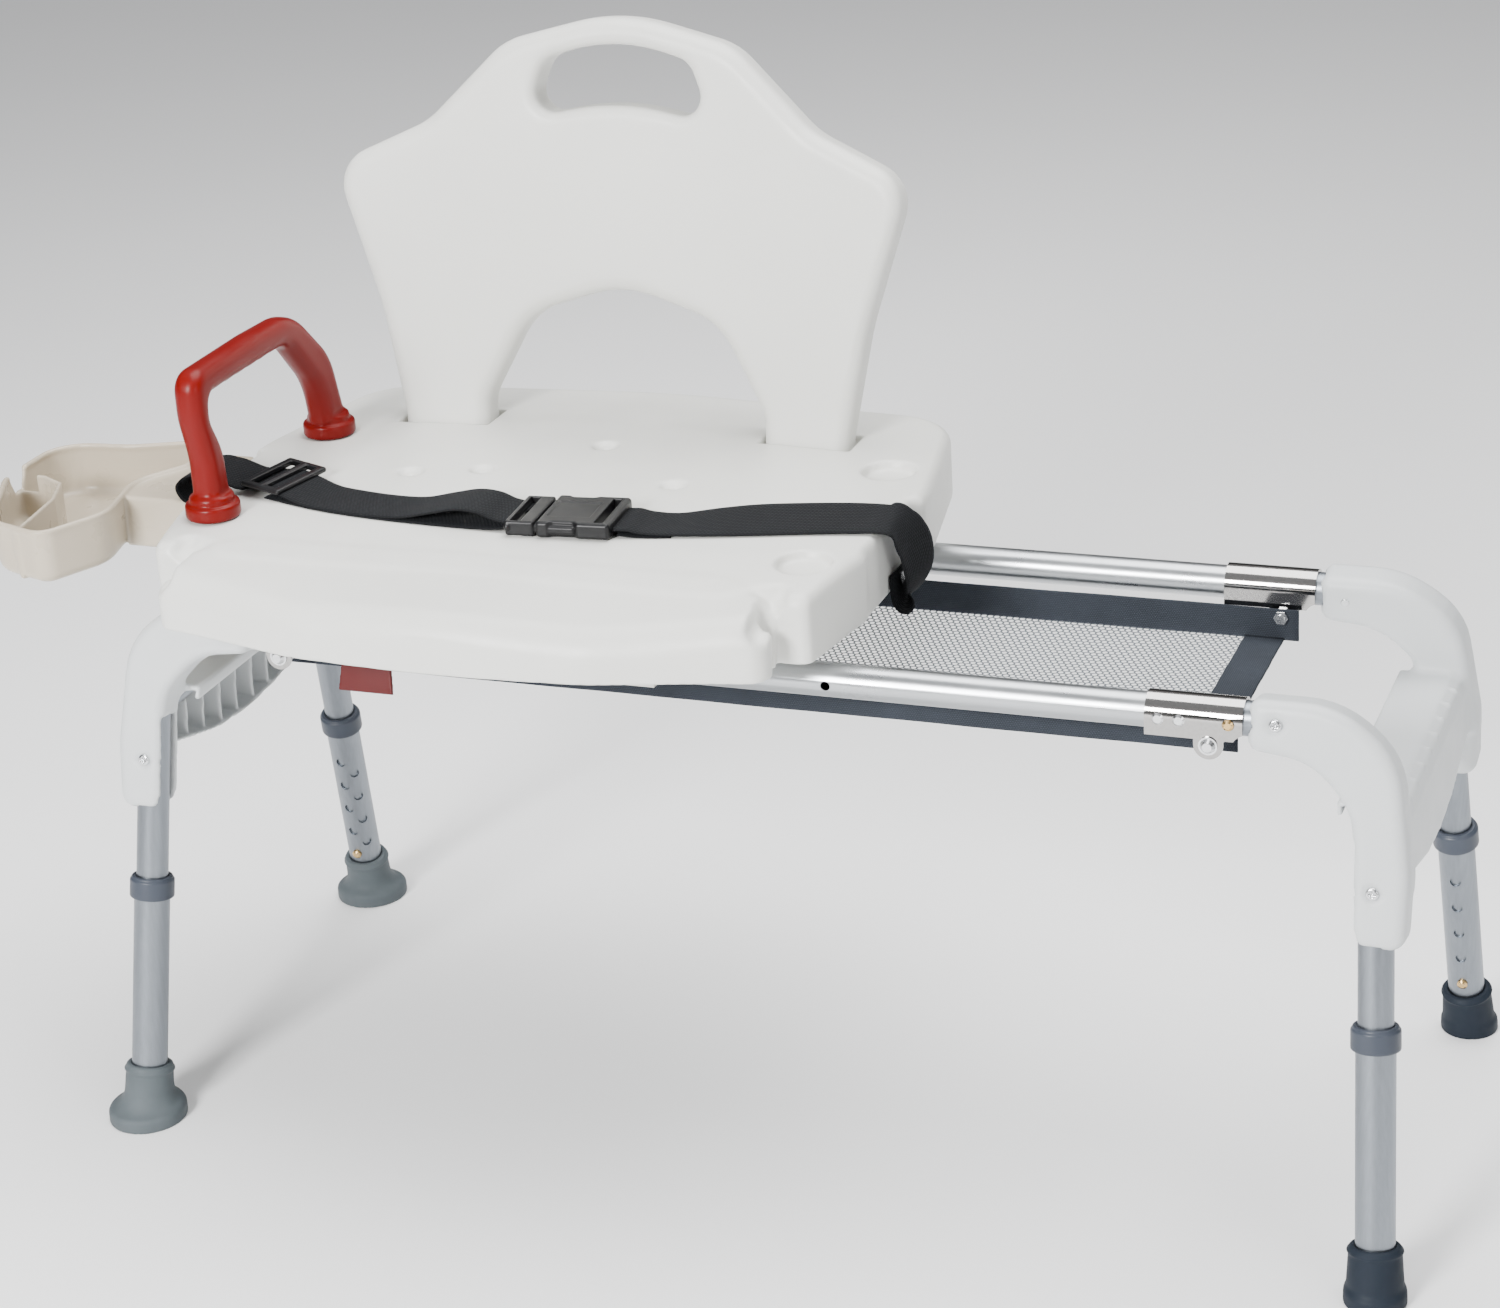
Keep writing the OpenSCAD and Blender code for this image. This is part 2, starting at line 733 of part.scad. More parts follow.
module leg_tube()
  difference() {
    tube_path(rail_d, tube_end_x, upper_bottom);
    tube_path(rail_d - 2 * tube_wall, tube_end_x - 1, upper_bottom - 1);
    translate([fold_button_x, 0, 0]) rotate([-90 - leg_tilt, 0, 0]) cylinder(r = button_r + 0.1, h = 20);
    on_leg(first_hole) rotate([90, 0, 0]) cylinder(r = button_r + 0.1, h = 20);
    for (place = screw_places())
      translate([place.x, 0, place.y]) rotate([90, 0, 0]) cylinder(r = 2, h = 40, center = true);
  }

screw_x = 411;
screw_drop = 112;

// Where the panel's screws cross a leg tube, in the plane of the leg
function screw_places() = [[screw_x, 0], [corner_x + screw_drop * tan(leg_splay), -screw_drop]];

module end_tubes(side) color("#aab0b6") bench() end(side) for (row = [-1, 1]) leg_plane(row) leg_tube();

module hinge_lug()
  difference() {
    union() {
      translate([0, rail_y + 8, 0]) rotate([90, 0, 0]) linear_extrude(16) {
        translate([pivot_x, pivot_z]) circle(r = 8);
        polygon([
          [pivot_x - 8, pivot_z], [pivot_x + 0.1, pivot_z], [pivot_x + 0.1, rail_z + 8],
          [pivot_x - 3, rail_z + 8], [pivot_x - 8, rail_z]
        ]);
      }
      translate([pivot_x - 5, rail_y, rail_z]) along_x(5.1) circle(r = rail_r - 0.7);
      translate([pivot_x, rail_y, rail_z]) along_x(8) circle(r = rail_r - tube_wall);
    }
    translate([pivot_x, rail_y - 20, pivot_z]) rotate([-90, 0, 0]) cylinder(r = pivot_r + fit, h = 40);
    translate([pivot_x + 0.15, rail_y, rail_z]) along_x(20) difference() {
      circle(r = rail_r);
      circle(r = rail_r - tube_wall);
    }
  }

module end_lugs(side) color("#8f9398") bench() end(side) for (row = [0, 1]) mirror([0, row, 0]) hinge_lug();

cross_x = corner_x + (rail_z - cross_tube_z) * tan(leg_splay);
cross_half = arm_y(cross_tube_z) - rail_r / cos(leg_tilt) - cross_tube_d / 2 * tan(leg_tilt) - 0.3;

module cross_tube(side)
  color("#8f979e")
    bench() end(side)
      translate([cross_x, -cross_half, cross_tube_z]) rotate([-90, 0, 0]) difference() {
        cylinder(d = cross_tube_d, h = 2 * cross_half);
        translate([0, 0, -1]) cylinder(d = cross_tube_d - 2.4, h = 2 * cross_half + 2);
      }

arm_corners = [
  [391, 11, 5], [391, -20, 9], [436, -25, 50], [466, -58, 45], [469, -140, 14], [474, -153, 8],
  [507, -153, 12], [508, -100, 60], [497, -16, 60], [452, 17, 70], [396, 17, 6]
];

module panel_arm()
  difference() {
    translate([0, arm_half, 0]) rotate([90, 0, 0]) linear_extrude(2 * arm_half) polygon(rounded(arm_corners));
    translate([460, -10, -170]) cube([22, 20, 92]);
  }

function arm_y(z) = rail_y + (rail_z - z) * tan(leg_tilt);

web_half = [
  [0, 286, 60], [46, 290, 80], [100, 306, 60], [arm_y(307), 307, 0], [arm_y(web_top), web_top, 0]
];

module web_rib(y)
  translate([web_x - 19, y - 1, web_top - 42]) cube([21.5, 2, 40]);

module end_web()
{
  translate([web_x, 0, web_top]) rotate([0, -leg_splay, 0]) translate([0, 0, -web_top])
    rotate([90, 0, 90]) linear_extrude(web_wall)
      polygon(rounded(concat(web_half, [for (c = reversed(web_half)) if (c.x != 0) [-c.x, c.y, c[2]]])));
  translate([448, -arm_y(web_top), web_top - web_wall]) cube([51, 2 * arm_y(web_top), web_wall]);
  translate([448, -arm_y(web_top) + 10, web_top - 8]) cube([web_wall, 2 * arm_y(web_top) - 20, 8]);
  for (i = [-3.5:1:3.5]) web_rib(i * 27);
}

module end_panel(side)
  color("#d3d5d4")
    bench() end(side)
      difference() {
        union() {
          for (row = [-1, 1]) leg_plane(row) panel_arm();
          end_web();
        }
        for (row = [-1, 1]) leg_plane(row) {
          tube_path(rail_d + 0.2, tube_end_x, 200);
          for (place = screw_places()) translate([place.x, 0, place.y]) rotate([-90, 0, 0]) {
            translate([0, 0, -20]) cylinder(r = 2, h = 40);
            translate([0, 0, arm_half - 2]) cylinder(r = 6.5, h = 4);
          }
        }
        translate([cross_x, -cross_half - 1, cross_tube_z]) rotate([-90, 0, 0])
          cylinder(d = cross_tube_d + 0.4, h = 2 * cross_half + 2);
      }

module panel_screws(side)
  color("#cfd1d3")
    bench() end(side)
      for (row = [-1, 1]) leg_plane(row)
        for (place = screw_places()) translate([place.x, 0, place.y]) rotate([-90, 0, 0]) {
          translate([0, 0, -arm_half + 1]) cylinder(r = 2, h = 2 * arm_half - 3);
          translate([0, 0, arm_half - 2]) cylinder(r = 4.8, h = 1.2);
          translate([0, 0, arm_half - 0.8]) cylinder(r1 = 4.8, r2 = 3.2, h = 1.4);
        }

// ---- snap buttons ----

// A dome-headed button on its folded leaf spring, pressed inwards along -Z
module snap_button(leaf)
{
  translate([0, 0, 7.6]) cylinder(r = button_r, h = 8.4);
  translate([0, 0, 16]) cylinder(r1 = button_r, r2 = 2.4, h = 1.2);
  translate([0, 4, 0]) rotate([90, 0, 0]) linear_extrude(8)
    polygon([
      [-5, 7.6], [-5, 6.8], [leaf - 0.6, 6.8], [leaf + 2.1, 0], [leaf - 0.7, -7.6], [4, -9.4],
      [4, -10.2], [leaf, -8.4], [leaf + 3, 0], [leaf, 7.6]
    ]);
}

module fold_button(side, row)
  color("#b08a4a")
    bench() end(side) mirror([0, row < 0 ? 1 : 0, 0])
      translate([fold_button_x, rail_y, rail_z]) rotate([-90, 0, 0]) snap_button(26);

module height_button(side, row)
  color("#b08a4a")
    bench() end(side) leg_plane(row)
      on_leg(first_hole) rotate([0, -90, 0]) rotate([90, 0, 0]) snap_button(30);

// ---- lower legs ----

module lower_leg(side, row)
  color("#a3a9b0")
    bench() end(side) leg_plane(row)
      difference() {
        on_leg(lower_bottom) cylinder(d = lower_d, h = lower_top - lower_bottom);
        on_leg(lower_bottom - 1) cylinder(r = rail_r + fit, h = lower_top - lower_bottom + 2);
        for (i = [0:4]) on_leg(first_hole + i * hole_pitch) rotate([90, 0, 0]) cylinder(r = hole_r, h = 20);
        if (side < 0)
          for (i = [0:3])
            on_leg(first_hole + (i + 0.5) * hole_pitch) rotate([90, 0, -44]) cylinder(r = hole_r, h = 20);
      }

module leg_collar(side, row)
  color("#6b7079")
    bench() end(side) leg_plane(row)
      on_leg(lower_top - 10) difference() {
        cylinder(d = 35.5, h = 16);
        translate([0, 0, -1]) cylinder(d = lower_d, h = 11);
        cylinder(r = rail_r + fit + 0.05, h = 20);
      }

module foot_form(base_r, neck_r, top_r, height)
  intersection() {
    union() {
      translate([foot_x, foot_y, 0]) cylinder(r = base_r, h = 9);
      leg_plane(1) on_leg(-12) cylinder(r1 = base_r, r2 = neck_r, h = 12 + height * 0.55);
      leg_plane(1) on_leg(height * 0.5) cylinder(r1 = neck_r, r2 = top_r, h = height * 0.5);
    }
    translate([foot_x - 60, foot_y - 60, 0]) cube([120, 120, 90]);
  }

module foot(side, row)
  color(side > 0 ? "#474d58" : "#858b8e")
    bench() end(side) mirror([0, row < 0 ? 1 : 0, 0])
      difference() {
        if (side > 0) foot_form(22, 21.5, 19, 42); else foot_form(31, 21, 19, 46);
        leg_plane(1) on_leg(lower_bottom) cylinder(d = lower_d, h = 60);
      }

rails();
hinge_brackets();
bracket_rivets();
pivot_bolts();
pivot_nuts();
sling_net();
sling_binding();
seat_shell();
backrest();
backrest_screws();
grab_handle();
handle_screws();
shower_tray();
slide_blocks();
slide_block_screws();
belt_left_strap();
belt_right_strap();
belt_slide_buckle();
buckle_socket();
buckle_plug();
belt_rivets();
lock_housing();
lever_pivot_pin();
lock_lever();
lock_pin_spring();
end_tubes(1);  // right_leg_tubes
end_lugs(1);  // right_hinge_lugs
cross_tube(1);  // right_cross_tube
end_panel(1);  // right_end_panel
panel_screws(1);  // right_panel_screws
end_tubes(-1);  // left_leg_tubes
end_lugs(-1);  // left_hinge_lugs
cross_tube(-1);  // left_cross_tube
end_panel(-1);  // left_end_panel
panel_screws(-1);  // left_panel_screws
fold_button(1, -1);  // fold_button_front_right
fold_button(1, 1);  // fold_button_rear_right
fold_button(-1, -1);  // fold_button_front_left
fold_button(-1, 1);  // fold_button_rear_left
height_button(1, -1);  // height_button_front_right
height_button(1, 1);  // height_button_rear_right
height_button(-1, -1);  // height_button_front_left
height_button(-1, 1);  // height_button_rear_left
lower_leg(1, -1);  // lower_leg_front_right
lower_leg(1, 1);  // lower_leg_rear_right
lower_leg(-1, -1);  // lower_leg_front_left
lower_leg(-1, 1);  // lower_leg_rear_left
leg_collar(1, -1);  // leg_collar_front_right
leg_collar(1, 1);  // leg_collar_rear_right
leg_collar(-1, -1);  // leg_collar_front_left
leg_collar(-1, 1);  // leg_collar_rear_left
foot(1, -1);  // foot_front_right
foot(1, 1);  // foot_rear_right
foot(-1, -1);  // foot_front_left
foot(-1, 1);  // foot_rear_left
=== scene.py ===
"""The looks of a bath transfer bench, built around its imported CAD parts.

Every moulded piece is drawn as a distance field on a grid of points, negative inside the solid, and turned
into a mesh. Shapes are drawn in millimetres in the bench's own frame: the middle between the rails, on the floor.
"""

import math

import bpy
import numpy as np
import openvdb
from mathutils import Matrix, Vector


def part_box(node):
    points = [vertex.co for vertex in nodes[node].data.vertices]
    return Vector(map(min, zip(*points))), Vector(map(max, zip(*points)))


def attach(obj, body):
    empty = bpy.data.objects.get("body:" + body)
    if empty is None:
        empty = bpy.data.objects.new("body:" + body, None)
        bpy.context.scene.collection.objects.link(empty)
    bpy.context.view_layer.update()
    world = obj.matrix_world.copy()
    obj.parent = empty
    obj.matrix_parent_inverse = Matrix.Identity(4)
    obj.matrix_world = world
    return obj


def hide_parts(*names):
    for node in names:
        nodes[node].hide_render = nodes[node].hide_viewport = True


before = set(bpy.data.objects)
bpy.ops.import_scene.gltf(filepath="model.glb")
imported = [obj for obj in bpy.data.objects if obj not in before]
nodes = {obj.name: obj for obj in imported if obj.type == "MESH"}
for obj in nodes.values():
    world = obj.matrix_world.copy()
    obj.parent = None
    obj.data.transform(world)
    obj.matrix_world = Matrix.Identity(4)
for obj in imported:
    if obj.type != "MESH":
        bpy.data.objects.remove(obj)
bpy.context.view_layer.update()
MM = 0.001


def box_mm(node):
    low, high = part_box(node)
    return low / MM, high / MM


rails_low, rails_high = box_mm("rails")
BENCH = Vector(((rails_low.x + rails_high.x) / 2, (rails_low.y + rails_high.y) / 2, 0))
TO_FRAME = Matrix.Scale(MM, 4) @ Matrix.Translation(BENCH)


def in_bench(node):
    low, high = box_mm(node)
    return low - BENCH, high - BENCH


# ---- driving sizes, from the CAD parts ----

SEAT_LOW, SEAT_HIGH = in_bench("seat_shell")
SEAT_X = (SEAT_LOW.x + SEAT_HIGH.x) / 2
SEAT_TOP = SEAT_HIGH.z
SEAT_BOTTOM = SEAT_LOW.z
RAIL_R = (rails_high.z - rails_low.z) / 2
RAIL_Z = (rails_high.z + rails_low.z) / 2
RAIL_Y = in_bench("rails")[1].y - RAIL_R
SOCKET_U = 243
SOCKET_Y = 98.5
BACK_Y = 146
BACK_LEAN = 7
BACK_T = 36
BACK_CURVE = 1800
LEG_TILT = math.radians(11.2)
LEG_SPLAY = math.radians(2.7)
BEND_R = 62
BEND_X = 418.9
WEB_TOP = 347
WEB_X = 497
CROSS_Z = 333
CROSS_X = sum(p.x for p in in_bench("right_cross_tube")) / 2
BELT_W = 48
ENDS = {"right": 1, "left": -1}
ROWS = {"front": -1, "rear": 1}


# ---- outlines ----


def rounded(corners, steps=9):
    """The closed outline through corners (x, y, radius)."""
    points = []
    count = len(corners)
    for i, (x, y, r) in enumerate(corners):
        b = np.array([x, y], float)
        if r == 0:
            points.append(b)
            continue
        a = np.array(corners[i - 1][:2], float)
        c = np.array(corners[(i + 1) % count][:2], float)
        u = (a - b) / np.linalg.norm(a - b)
        v = (c - b) / np.linalg.norm(c - b)
        half = math.acos(np.clip(u @ v, -1, 1)) / 2
        centre = b + (u + v) / np.linalg.norm(u + v) * r / math.sin(half)
        start = b + u * r / math.tan(half) - centre
        stop = b + v * r / math.tan(half) - centre
        first = math.atan2(start[1], start[0])
        turn = (math.atan2(stop[1], stop[0]) - first + math.pi) % (2 * math.pi) - math.pi
        for k in range(steps + 1):
            angle = first + turn * k / steps
            points.append(centre + r * np.array([math.cos(angle), math.sin(angle)]))
    return np.array(points)


def both_halves(half):
    """The right half of an outline, from its top corner down, and its mirror image."""
    return half + [(-x, y, r) for x, y, r in reversed(half[1:]) if x != 0]


def to_outline(x, y, outline):
    """The distance to a closed outline, negative inside it."""
    best = None
    inside = None
    for (ax, ay), (bx, by) in zip(outline, np.roll(outline, -1, axis=0)):
        ex, ey = bx - ax, by - ay
        length = ex * ex + ey * ey
        if length < 1e-9:
            continue
        t = np.clip(((x - ax) * ex + (y - ay) * ey) / length, 0, 1)
        away = (x - ax - t * ex) ** 2 + (y - ay - t * ey) ** 2
        left = (x - ax) * (by - ay) * np.sign(by - ay) < (y - ay) * ex * np.sign(by - ay)
        crosses = ((ay > y) != (by > y)) & left
        best = away if best is None else np.minimum(best, away)
        inside = crosses if inside is None else inside ^ crosses
    return np.where(inside, -1, 1) * np.sqrt(best)


def to_line(x, y, line):
    """The distance to an open line of points."""
    best = None
    for (ax, ay), (bx, by) in zip(line, line[1:]):
        ex, ey = bx - ax, by - ay
        t = np.clip(((x - ax) * ex + (y - ay) * ey) / (ex * ex + ey * ey), 0, 1)
        away = (x - ax - t * ex) ** 2 + (y - ay - t * ey) ** 2
        best = away if best is None else np.minimum(best, away)
    return np.sqrt(best)


# ---- distance fields ----


def slab(d, h, low, high, top_r, bottom_r=None):
    """An outline's distance d, raised from low to high along h, with rounded edges."""
    middle = (low + high) / 2
    r = np.where(h > middle, top_r, top_r if bottom_r is None else bottom_r).astype(np.float32)
    a = d + r
    b = np.abs(h - middle) - (high - low) / 2 + r
    return np.minimum(np.maximum(a, b), 0) + np.sqrt(np.maximum(a, 0) ** 2 + np.maximum(b, 0) ** 2) - r


def block(x, y, z, low, high, r):
    """A box with rounded edges."""
    q = [
        np.abs(axis - (a + b) / 2) - (b - a) / 2 + r
        for axis, a, b in zip((x, y, z), low, high)
    ]
    outside = np.sqrt(sum(np.maximum(v, 0) ** 2 for v in q))
    return outside + np.minimum(np.maximum(np.maximum(q[0], q[1]), q[2]), 0) - r


def capsule(x, y, z, a, b, r_a, r_b=None):
    """A rod from a to b with round ends, whose radius may change along it."""
    r_b = r_a if r_b is None else r_b
    e = np.array(b, float) - np.array(a, float)
    t = np.clip(((x - a[0]) * e[0] + (y - a[1]) * e[1] + (z - a[2]) * e[2]) / (e @ e), 0, 1)
    away = np.sqrt((x - a[0] - t * e[0]) ** 2 + (y - a[1] - t * e[1]) ** 2 + (z - a[2] - t * e[2]) ** 2)
    return away - (r_a + (r_b - r_a) * t)


def joined(a, b, soft=0.01):
    """Both solids, with a fillet about soft wide where they meet."""
    h = np.clip(0.5 + 0.5 * (b - a) / soft, 0, 1)
    return b + (a - b) * h - soft * h * (1 - h)


def cut(a, b, soft=0.01):
    """Solid a without solid b, with the cut's edge softened."""
    return -joined(-a, b, soft)


class Grid:
    """Points in a box, on which a solid is drawn. Its axes broadcast against each other."""

    def __init__(self, low, high, step):
        self.low = np.array(low, float)
        self.step = step
        axes = [np.arange(a, b + step, step, dtype=np.float32) for a, b in zip(low, high)]
        self.x, self.y, self.z = np.meshgrid(*axes, indexing="ij", sparse=True)
        self.shape = tuple(len(a) for a in axes)

    def surface(self, field):
        """The zero surface of a field as points and faces."""
        reach = 3 * self.step
        values = np.broadcast_to(field, self.shape).astype(np.float32)
        grid = openvdb.FloatGrid(reach)
        grid.copyFromArray(np.ascontiguousarray(np.clip(values, -reach, reach)))
        points, quads = grid.convertToQuads(0.0)
        return points * self.step + self.low, quads[:, ::-1]


def mesh_from(name, parts):
    """One mesh object from several (points in bench millimetres, faces)."""
    points, faces, start = [], [], 0
    for p, f in parts:
        points.append(np.asarray(p, float))
        shifted = (f + start).tolist() if isinstance(f, np.ndarray) else [[i + start for i in face] for face in f]
        faces.extend(shifted)
        start += len(p)
    mesh = bpy.data.meshes.new(name)
    mesh.from_pydata(np.concatenate(points).tolist(), [], faces)
    mesh.transform(TO_FRAME)
    mesh.polygons.foreach_set("use_smooth", [True] * len(mesh.polygons))
    mesh.update()
    obj = bpy.data.objects.new(name, mesh)
    bpy.context.scene.collection.objects.link(obj)
    return obj


def placed(surface, matrix):
    """A surface moved by a matrix, turned the right way out again if the matrix mirrors."""
    points, faces = surface
    m = np.array(matrix)
    moved = points @ m[:3, :3].T + m[:3, 3]
    return moved, faces[:, ::-1] if np.linalg.det(m[:3, :3]) < 0 else faces


def mirror(x=1, y=1):
    return Matrix.Diagonal((x, y, 1, 1))


def piece(name, parts, material, slot, body, *replaced):
    obj = mesh_from(name, parts)
    obj.data.materials.append(material)
    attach(obj, body)
    if replaced:
        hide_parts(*replaced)
    return obj


# ---- materials ----


class Shader:
    """A node tree under construction for one procedural material."""

    def __init__(self, name):
        self.material = bpy.data.materials.new(name)
        self.material.use_nodes = True
        self.tree = self.material.node_tree
        self.shader = self.tree.nodes["Principled BSDF"]
        self.place = self.add("ShaderNodeTexCoord").outputs["Object"]

    def add(self, kind, **values):
        node = self.tree.nodes.new(kind)
        for key, value in values.items():
            if hasattr(node, key):
                setattr(node, key, value)
            else:
                self.feed(node.inputs[key], value)
        return node

    def feed(self, socket, value):
        if isinstance(value, bpy.types.NodeSocket):
            self.tree.links.new(value, socket)
        else:
            socket.default_value = value

    def set(self, **values):
        for key, value in values.items():
            self.feed(self.shader.inputs[key.replace("_", " ")], value)

    def scaled(self, scale, source=None):
        mapping = self.add("ShaderNodeMapping")
        mapping.inputs["Scale"].default_value = scale
        self.feed(mapping.inputs["Vector"], source or self.place)
        return mapping.outputs["Vector"]

    def noise(self, scale, detail=3, rough=0.5, vector=None):
        node = self.add("ShaderNodeTexNoise", Scale=scale, Detail=detail, Roughness=rough)
        self.feed(node.inputs["Vector"], vector or self.place)
        return node.outputs["Fac"]

    def mixed(self, factor, a, b):
        node = self.add("ShaderNodeMix", data_type="RGBA")
        self.feed(node.inputs[0], factor)
        self.feed(node.inputs[6], (*a, 1) if isinstance(a, tuple) else a)
        self.feed(node.inputs[7], (*b, 1) if isinstance(b, tuple) else b)
        return node.outputs[2]

    def between(self, value, low, high, from_low=0.3, from_high=0.7):
        node = self.add("ShaderNodeMapRange")
        self.feed(node.inputs["Value"], value)
        ends = {"From Min": from_low, "From Max": from_high, "To Min": low, "To Max": high}
        for key, number in ends.items():
            node.inputs[key].default_value = number
        return node.outputs["Result"]

    def math(self, operation, a, b=0.0):
        node = self.add("ShaderNodeMath", operation=operation)
        self.feed(node.inputs[0], a)
        self.feed(node.inputs[1], b)
        return node.outputs[0]

    def bumps(self, *layers):
        """Bump from (height, strength, distance in metres) layers, coarsest first."""
        normal = None
        for height, strength, distance in layers:
            node = self.add("ShaderNodeBump", Strength=strength, Distance=distance)
            self.feed(node.inputs["Height"], height)
            if normal is not None:
                self.feed(node.inputs["Normal"], normal)
            normal = node.outputs["Normal"]
        self.feed(self.shader.inputs["Normal"], normal)


def tint(color, factor):
    return tuple(min(1, c * factor) for c in color)


def moulded(name, color, rough, grain=900, depth=0.00008, glow=0.0, warm=0.97, shine=0.5):
    """Moulded plastic: a fine grain, faint flow clouds in colour and gloss, and slow waviness of the wall."""
    s = Shader(name)
    clouds = s.noise(6, 4, 0.55)
    base = s.mixed(s.between(clouds, 0, 1), tint(color, warm), tint(color, 1.02))
    s.set(Base_Color=base, Roughness=s.between(s.noise(38, 3), rough - 0.05, rough + 0.06))
    s.set(Subsurface_Weight=glow, Subsurface_Radius=(1, 0.9, 0.8), Subsurface_Scale=0.004)
    s.set(Specular_IOR_Level=shine)
    s.bumps((s.noise(14, 1), 0.1, 0.0002), (s.noise(grain, 2, 0.6), 0.35, depth))
    return s.material


def metal(name, color, rough, along=(1, 1, 1), streak=0.05, scratches=0.25, bump=0.00003):
    """Drawn or polished metal: fine streaks along one direction, and light scratches."""
    s = Shader(name)
    lines = s.noise(420, 3, 0.6, s.scaled(along))
    smudge = s.noise(14, 4, 0.6)
    worn = s.between(s.noise(95, 4, 0.7, s.scaled((1, 1, 0.4))), 0, scratches, 0.55, 0.75)
    base = s.mixed(s.between(lines, 0, 1, 0.35, 0.65), tint(color, 0.94), tint(color, 1.03))
    base = s.mixed(worn, base, tint(color, 0.9))
    gloss = s.math("ADD", s.between(smudge, rough - streak, rough + streak), s.math("MULTIPLY", worn, 0.1))
    s.set(Base_Color=base, Metallic=1.0, Roughness=gloss)
    s.bumps((lines, 0.25, bump))
    return s.material


def rubber(name, color):
    s = Shader(name)
    dust = s.noise(24, 4, 0.6)
    base = s.mixed(s.between(dust, 0, 1), tint(color, 0.9), tint(color, 1.12))
    s.set(Base_Color=base, Roughness=s.between(s.noise(60, 3), 0.52, 0.68), Specular_IOR_Level=0.15)
    s.bumps((s.noise(16, 2), 0.15, 0.001), (s.noise(1100, 2, 0.6), 0.4, 0.0001))
    return s.material


def woven(name, color, across, along, rough=0.85, bump=0.00045, lighter=1.9):
    """Webbing: ribs along the strap and picks across it, counted on the piece's own UV map, in metres."""
    s = Shader(name)
    uv = s.add("ShaderNodeUVMap", uv_map="cloth").outputs["UV"]
    split = s.add("ShaderNodeSeparateXYZ")
    s.feed(split.inputs["Vector"], uv)
    ribs = s.math("ABSOLUTE", s.math("SINE", s.math("MULTIPLY", split.outputs["Y"], math.pi / across)))
    row = s.math("FLOOR", s.math("DIVIDE", split.outputs["Y"], across))
    shifted = s.math("ADD", split.outputs["X"], s.math("MULTIPLY", row, along / 2))
    picks = s.math("ABSOLUTE", s.math("SINE", s.math("MULTIPLY", shifted, math.pi / along)))
    weave = s.math("MULTIPLY", ribs, picks)
    fuzz = s.noise(900, 3, 0.7)
    base = s.mixed(weave, tint(color, 0.55), tint(color, lighter))
    base = s.mixed(s.between(s.noise(30, 3), 0, 0.4), base, tint(color, 1.6))
    s.set(Base_Color=base, Roughness=rough, Specular_IOR_Level=0.2)
    s.set(Sheen_Weight=0.03, Sheen_Roughness=0.5, Sheen_Tint=(0.3, 0.34, 0.4, 1))
    s.bumps((weave, 0.8, bump), (fuzz, 0.35, 0.00012))
    return s.material


SEAT_WHITE = (0.70, 0.70, 0.665)
PANEL_WHITE = (0.58, 0.60, 0.605)
CREAM = (0.47, 0.41, 0.32)
RED = (0.14, 0.003, 0.002)
MATERIALS = {
    "seat": moulded("seat_polyethylene", SEAT_WHITE, 0.42, 1000, 0.00007, 0.12),
    "panel": moulded("panel_plastic", PANEL_WHITE, 0.44, 1200, 0.00006, 0.06),
    "tray": moulded("tray_plastic", CREAM, 0.3, 700, 0.00003, 0.12),
    "red": moulded("handle_plastic", RED, 0.33, 700, 0.00002, 0.0, 0.99, 0.18),
    "dark_red": moulded("lever_plastic", (0.07, 0.004, 0.004), 0.42, 900, 0.00006, 0.0, 0.93, 0.3),
    "black": moulded("buckle_plastic", (0.0065, 0.0065, 0.0075), 0.4, 1100, 0.0001, 0.0, 0.8, 0.3),
    "slate": moulded("collar_plastic", (0.045, 0.053, 0.07), 0.4, 900, 0.00005, 0.0, 0.9, 0.3),
    "natural": moulded("block_plastic", (0.66, 0.66, 0.62), 0.45, 800, 0.00006, 0.1),
    "rail": metal("rail_aluminium", (0.44, 0.455, 0.47), 0.3, (0.02, 1, 1), 0.05, 0.2),
    "leg": metal("leg_aluminium", (0.24, 0.26, 0.285), 0.38, (1, 1, 0.03), 0.05, 0.15),
    "chrome": metal("chrome_plate", (0.36, 0.35, 0.34), 0.1, (1, 1, 1), 0.03, 0.35, 0.00002),
    "zinc": metal("bright_zinc", (0.70, 0.71, 0.72), 0.22, (1, 1, 1), 0.06, 0.3),
    "brass": metal("brass", (0.62, 0.42, 0.19), 0.3, (1, 1, 1), 0.08, 0.4),
    "cast": metal("cast_lug", (0.27, 0.28, 0.295), 0.5, (1, 1, 1), 0.1, 0.2, 0.00008),
    "grey_rubber": rubber("foot_rubber_grey", (0.085, 0.1, 0.108)),
    "dark_rubber": rubber("foot_rubber_dark", (0.012, 0.017, 0.025)),
    "webbing": woven("belt_webbing", (0.0035, 0.0039, 0.0048), 0.0024, 0.0030),
    "tape": woven("sling_tape", (0.020, 0.024, 0.031), 0.0015, 0.0019, 0.8, 0.0003, 1.6),
}


# ---- seat ----

SEAT_HALF = [
    (0, 252, 500), (258, 229, 60), (288, 60, 200), (284, -60, 300), (265, -157, 9), (243, -158, 6),
    (232, -140, 10), (205, -165, 20), (0, -165, 0),
]
LIP_HALF = [
    (0, -120, 0), (200, -120, 30), (240, -150, 20), (249, -196, 17), (205, -205, 60), (118, -227, 120),
    (0, -236, 900),
]
THIGH_U, THIGH_DIP, FRONT_DIP, FRONT_START, FRONT_RUN = 150, 8, 12.5, -90, 130
LEG_SLOTS = (121, 196)
DIMPLES = [(-77, 39), (-1, 110), (88, 34), (-132, 22)]


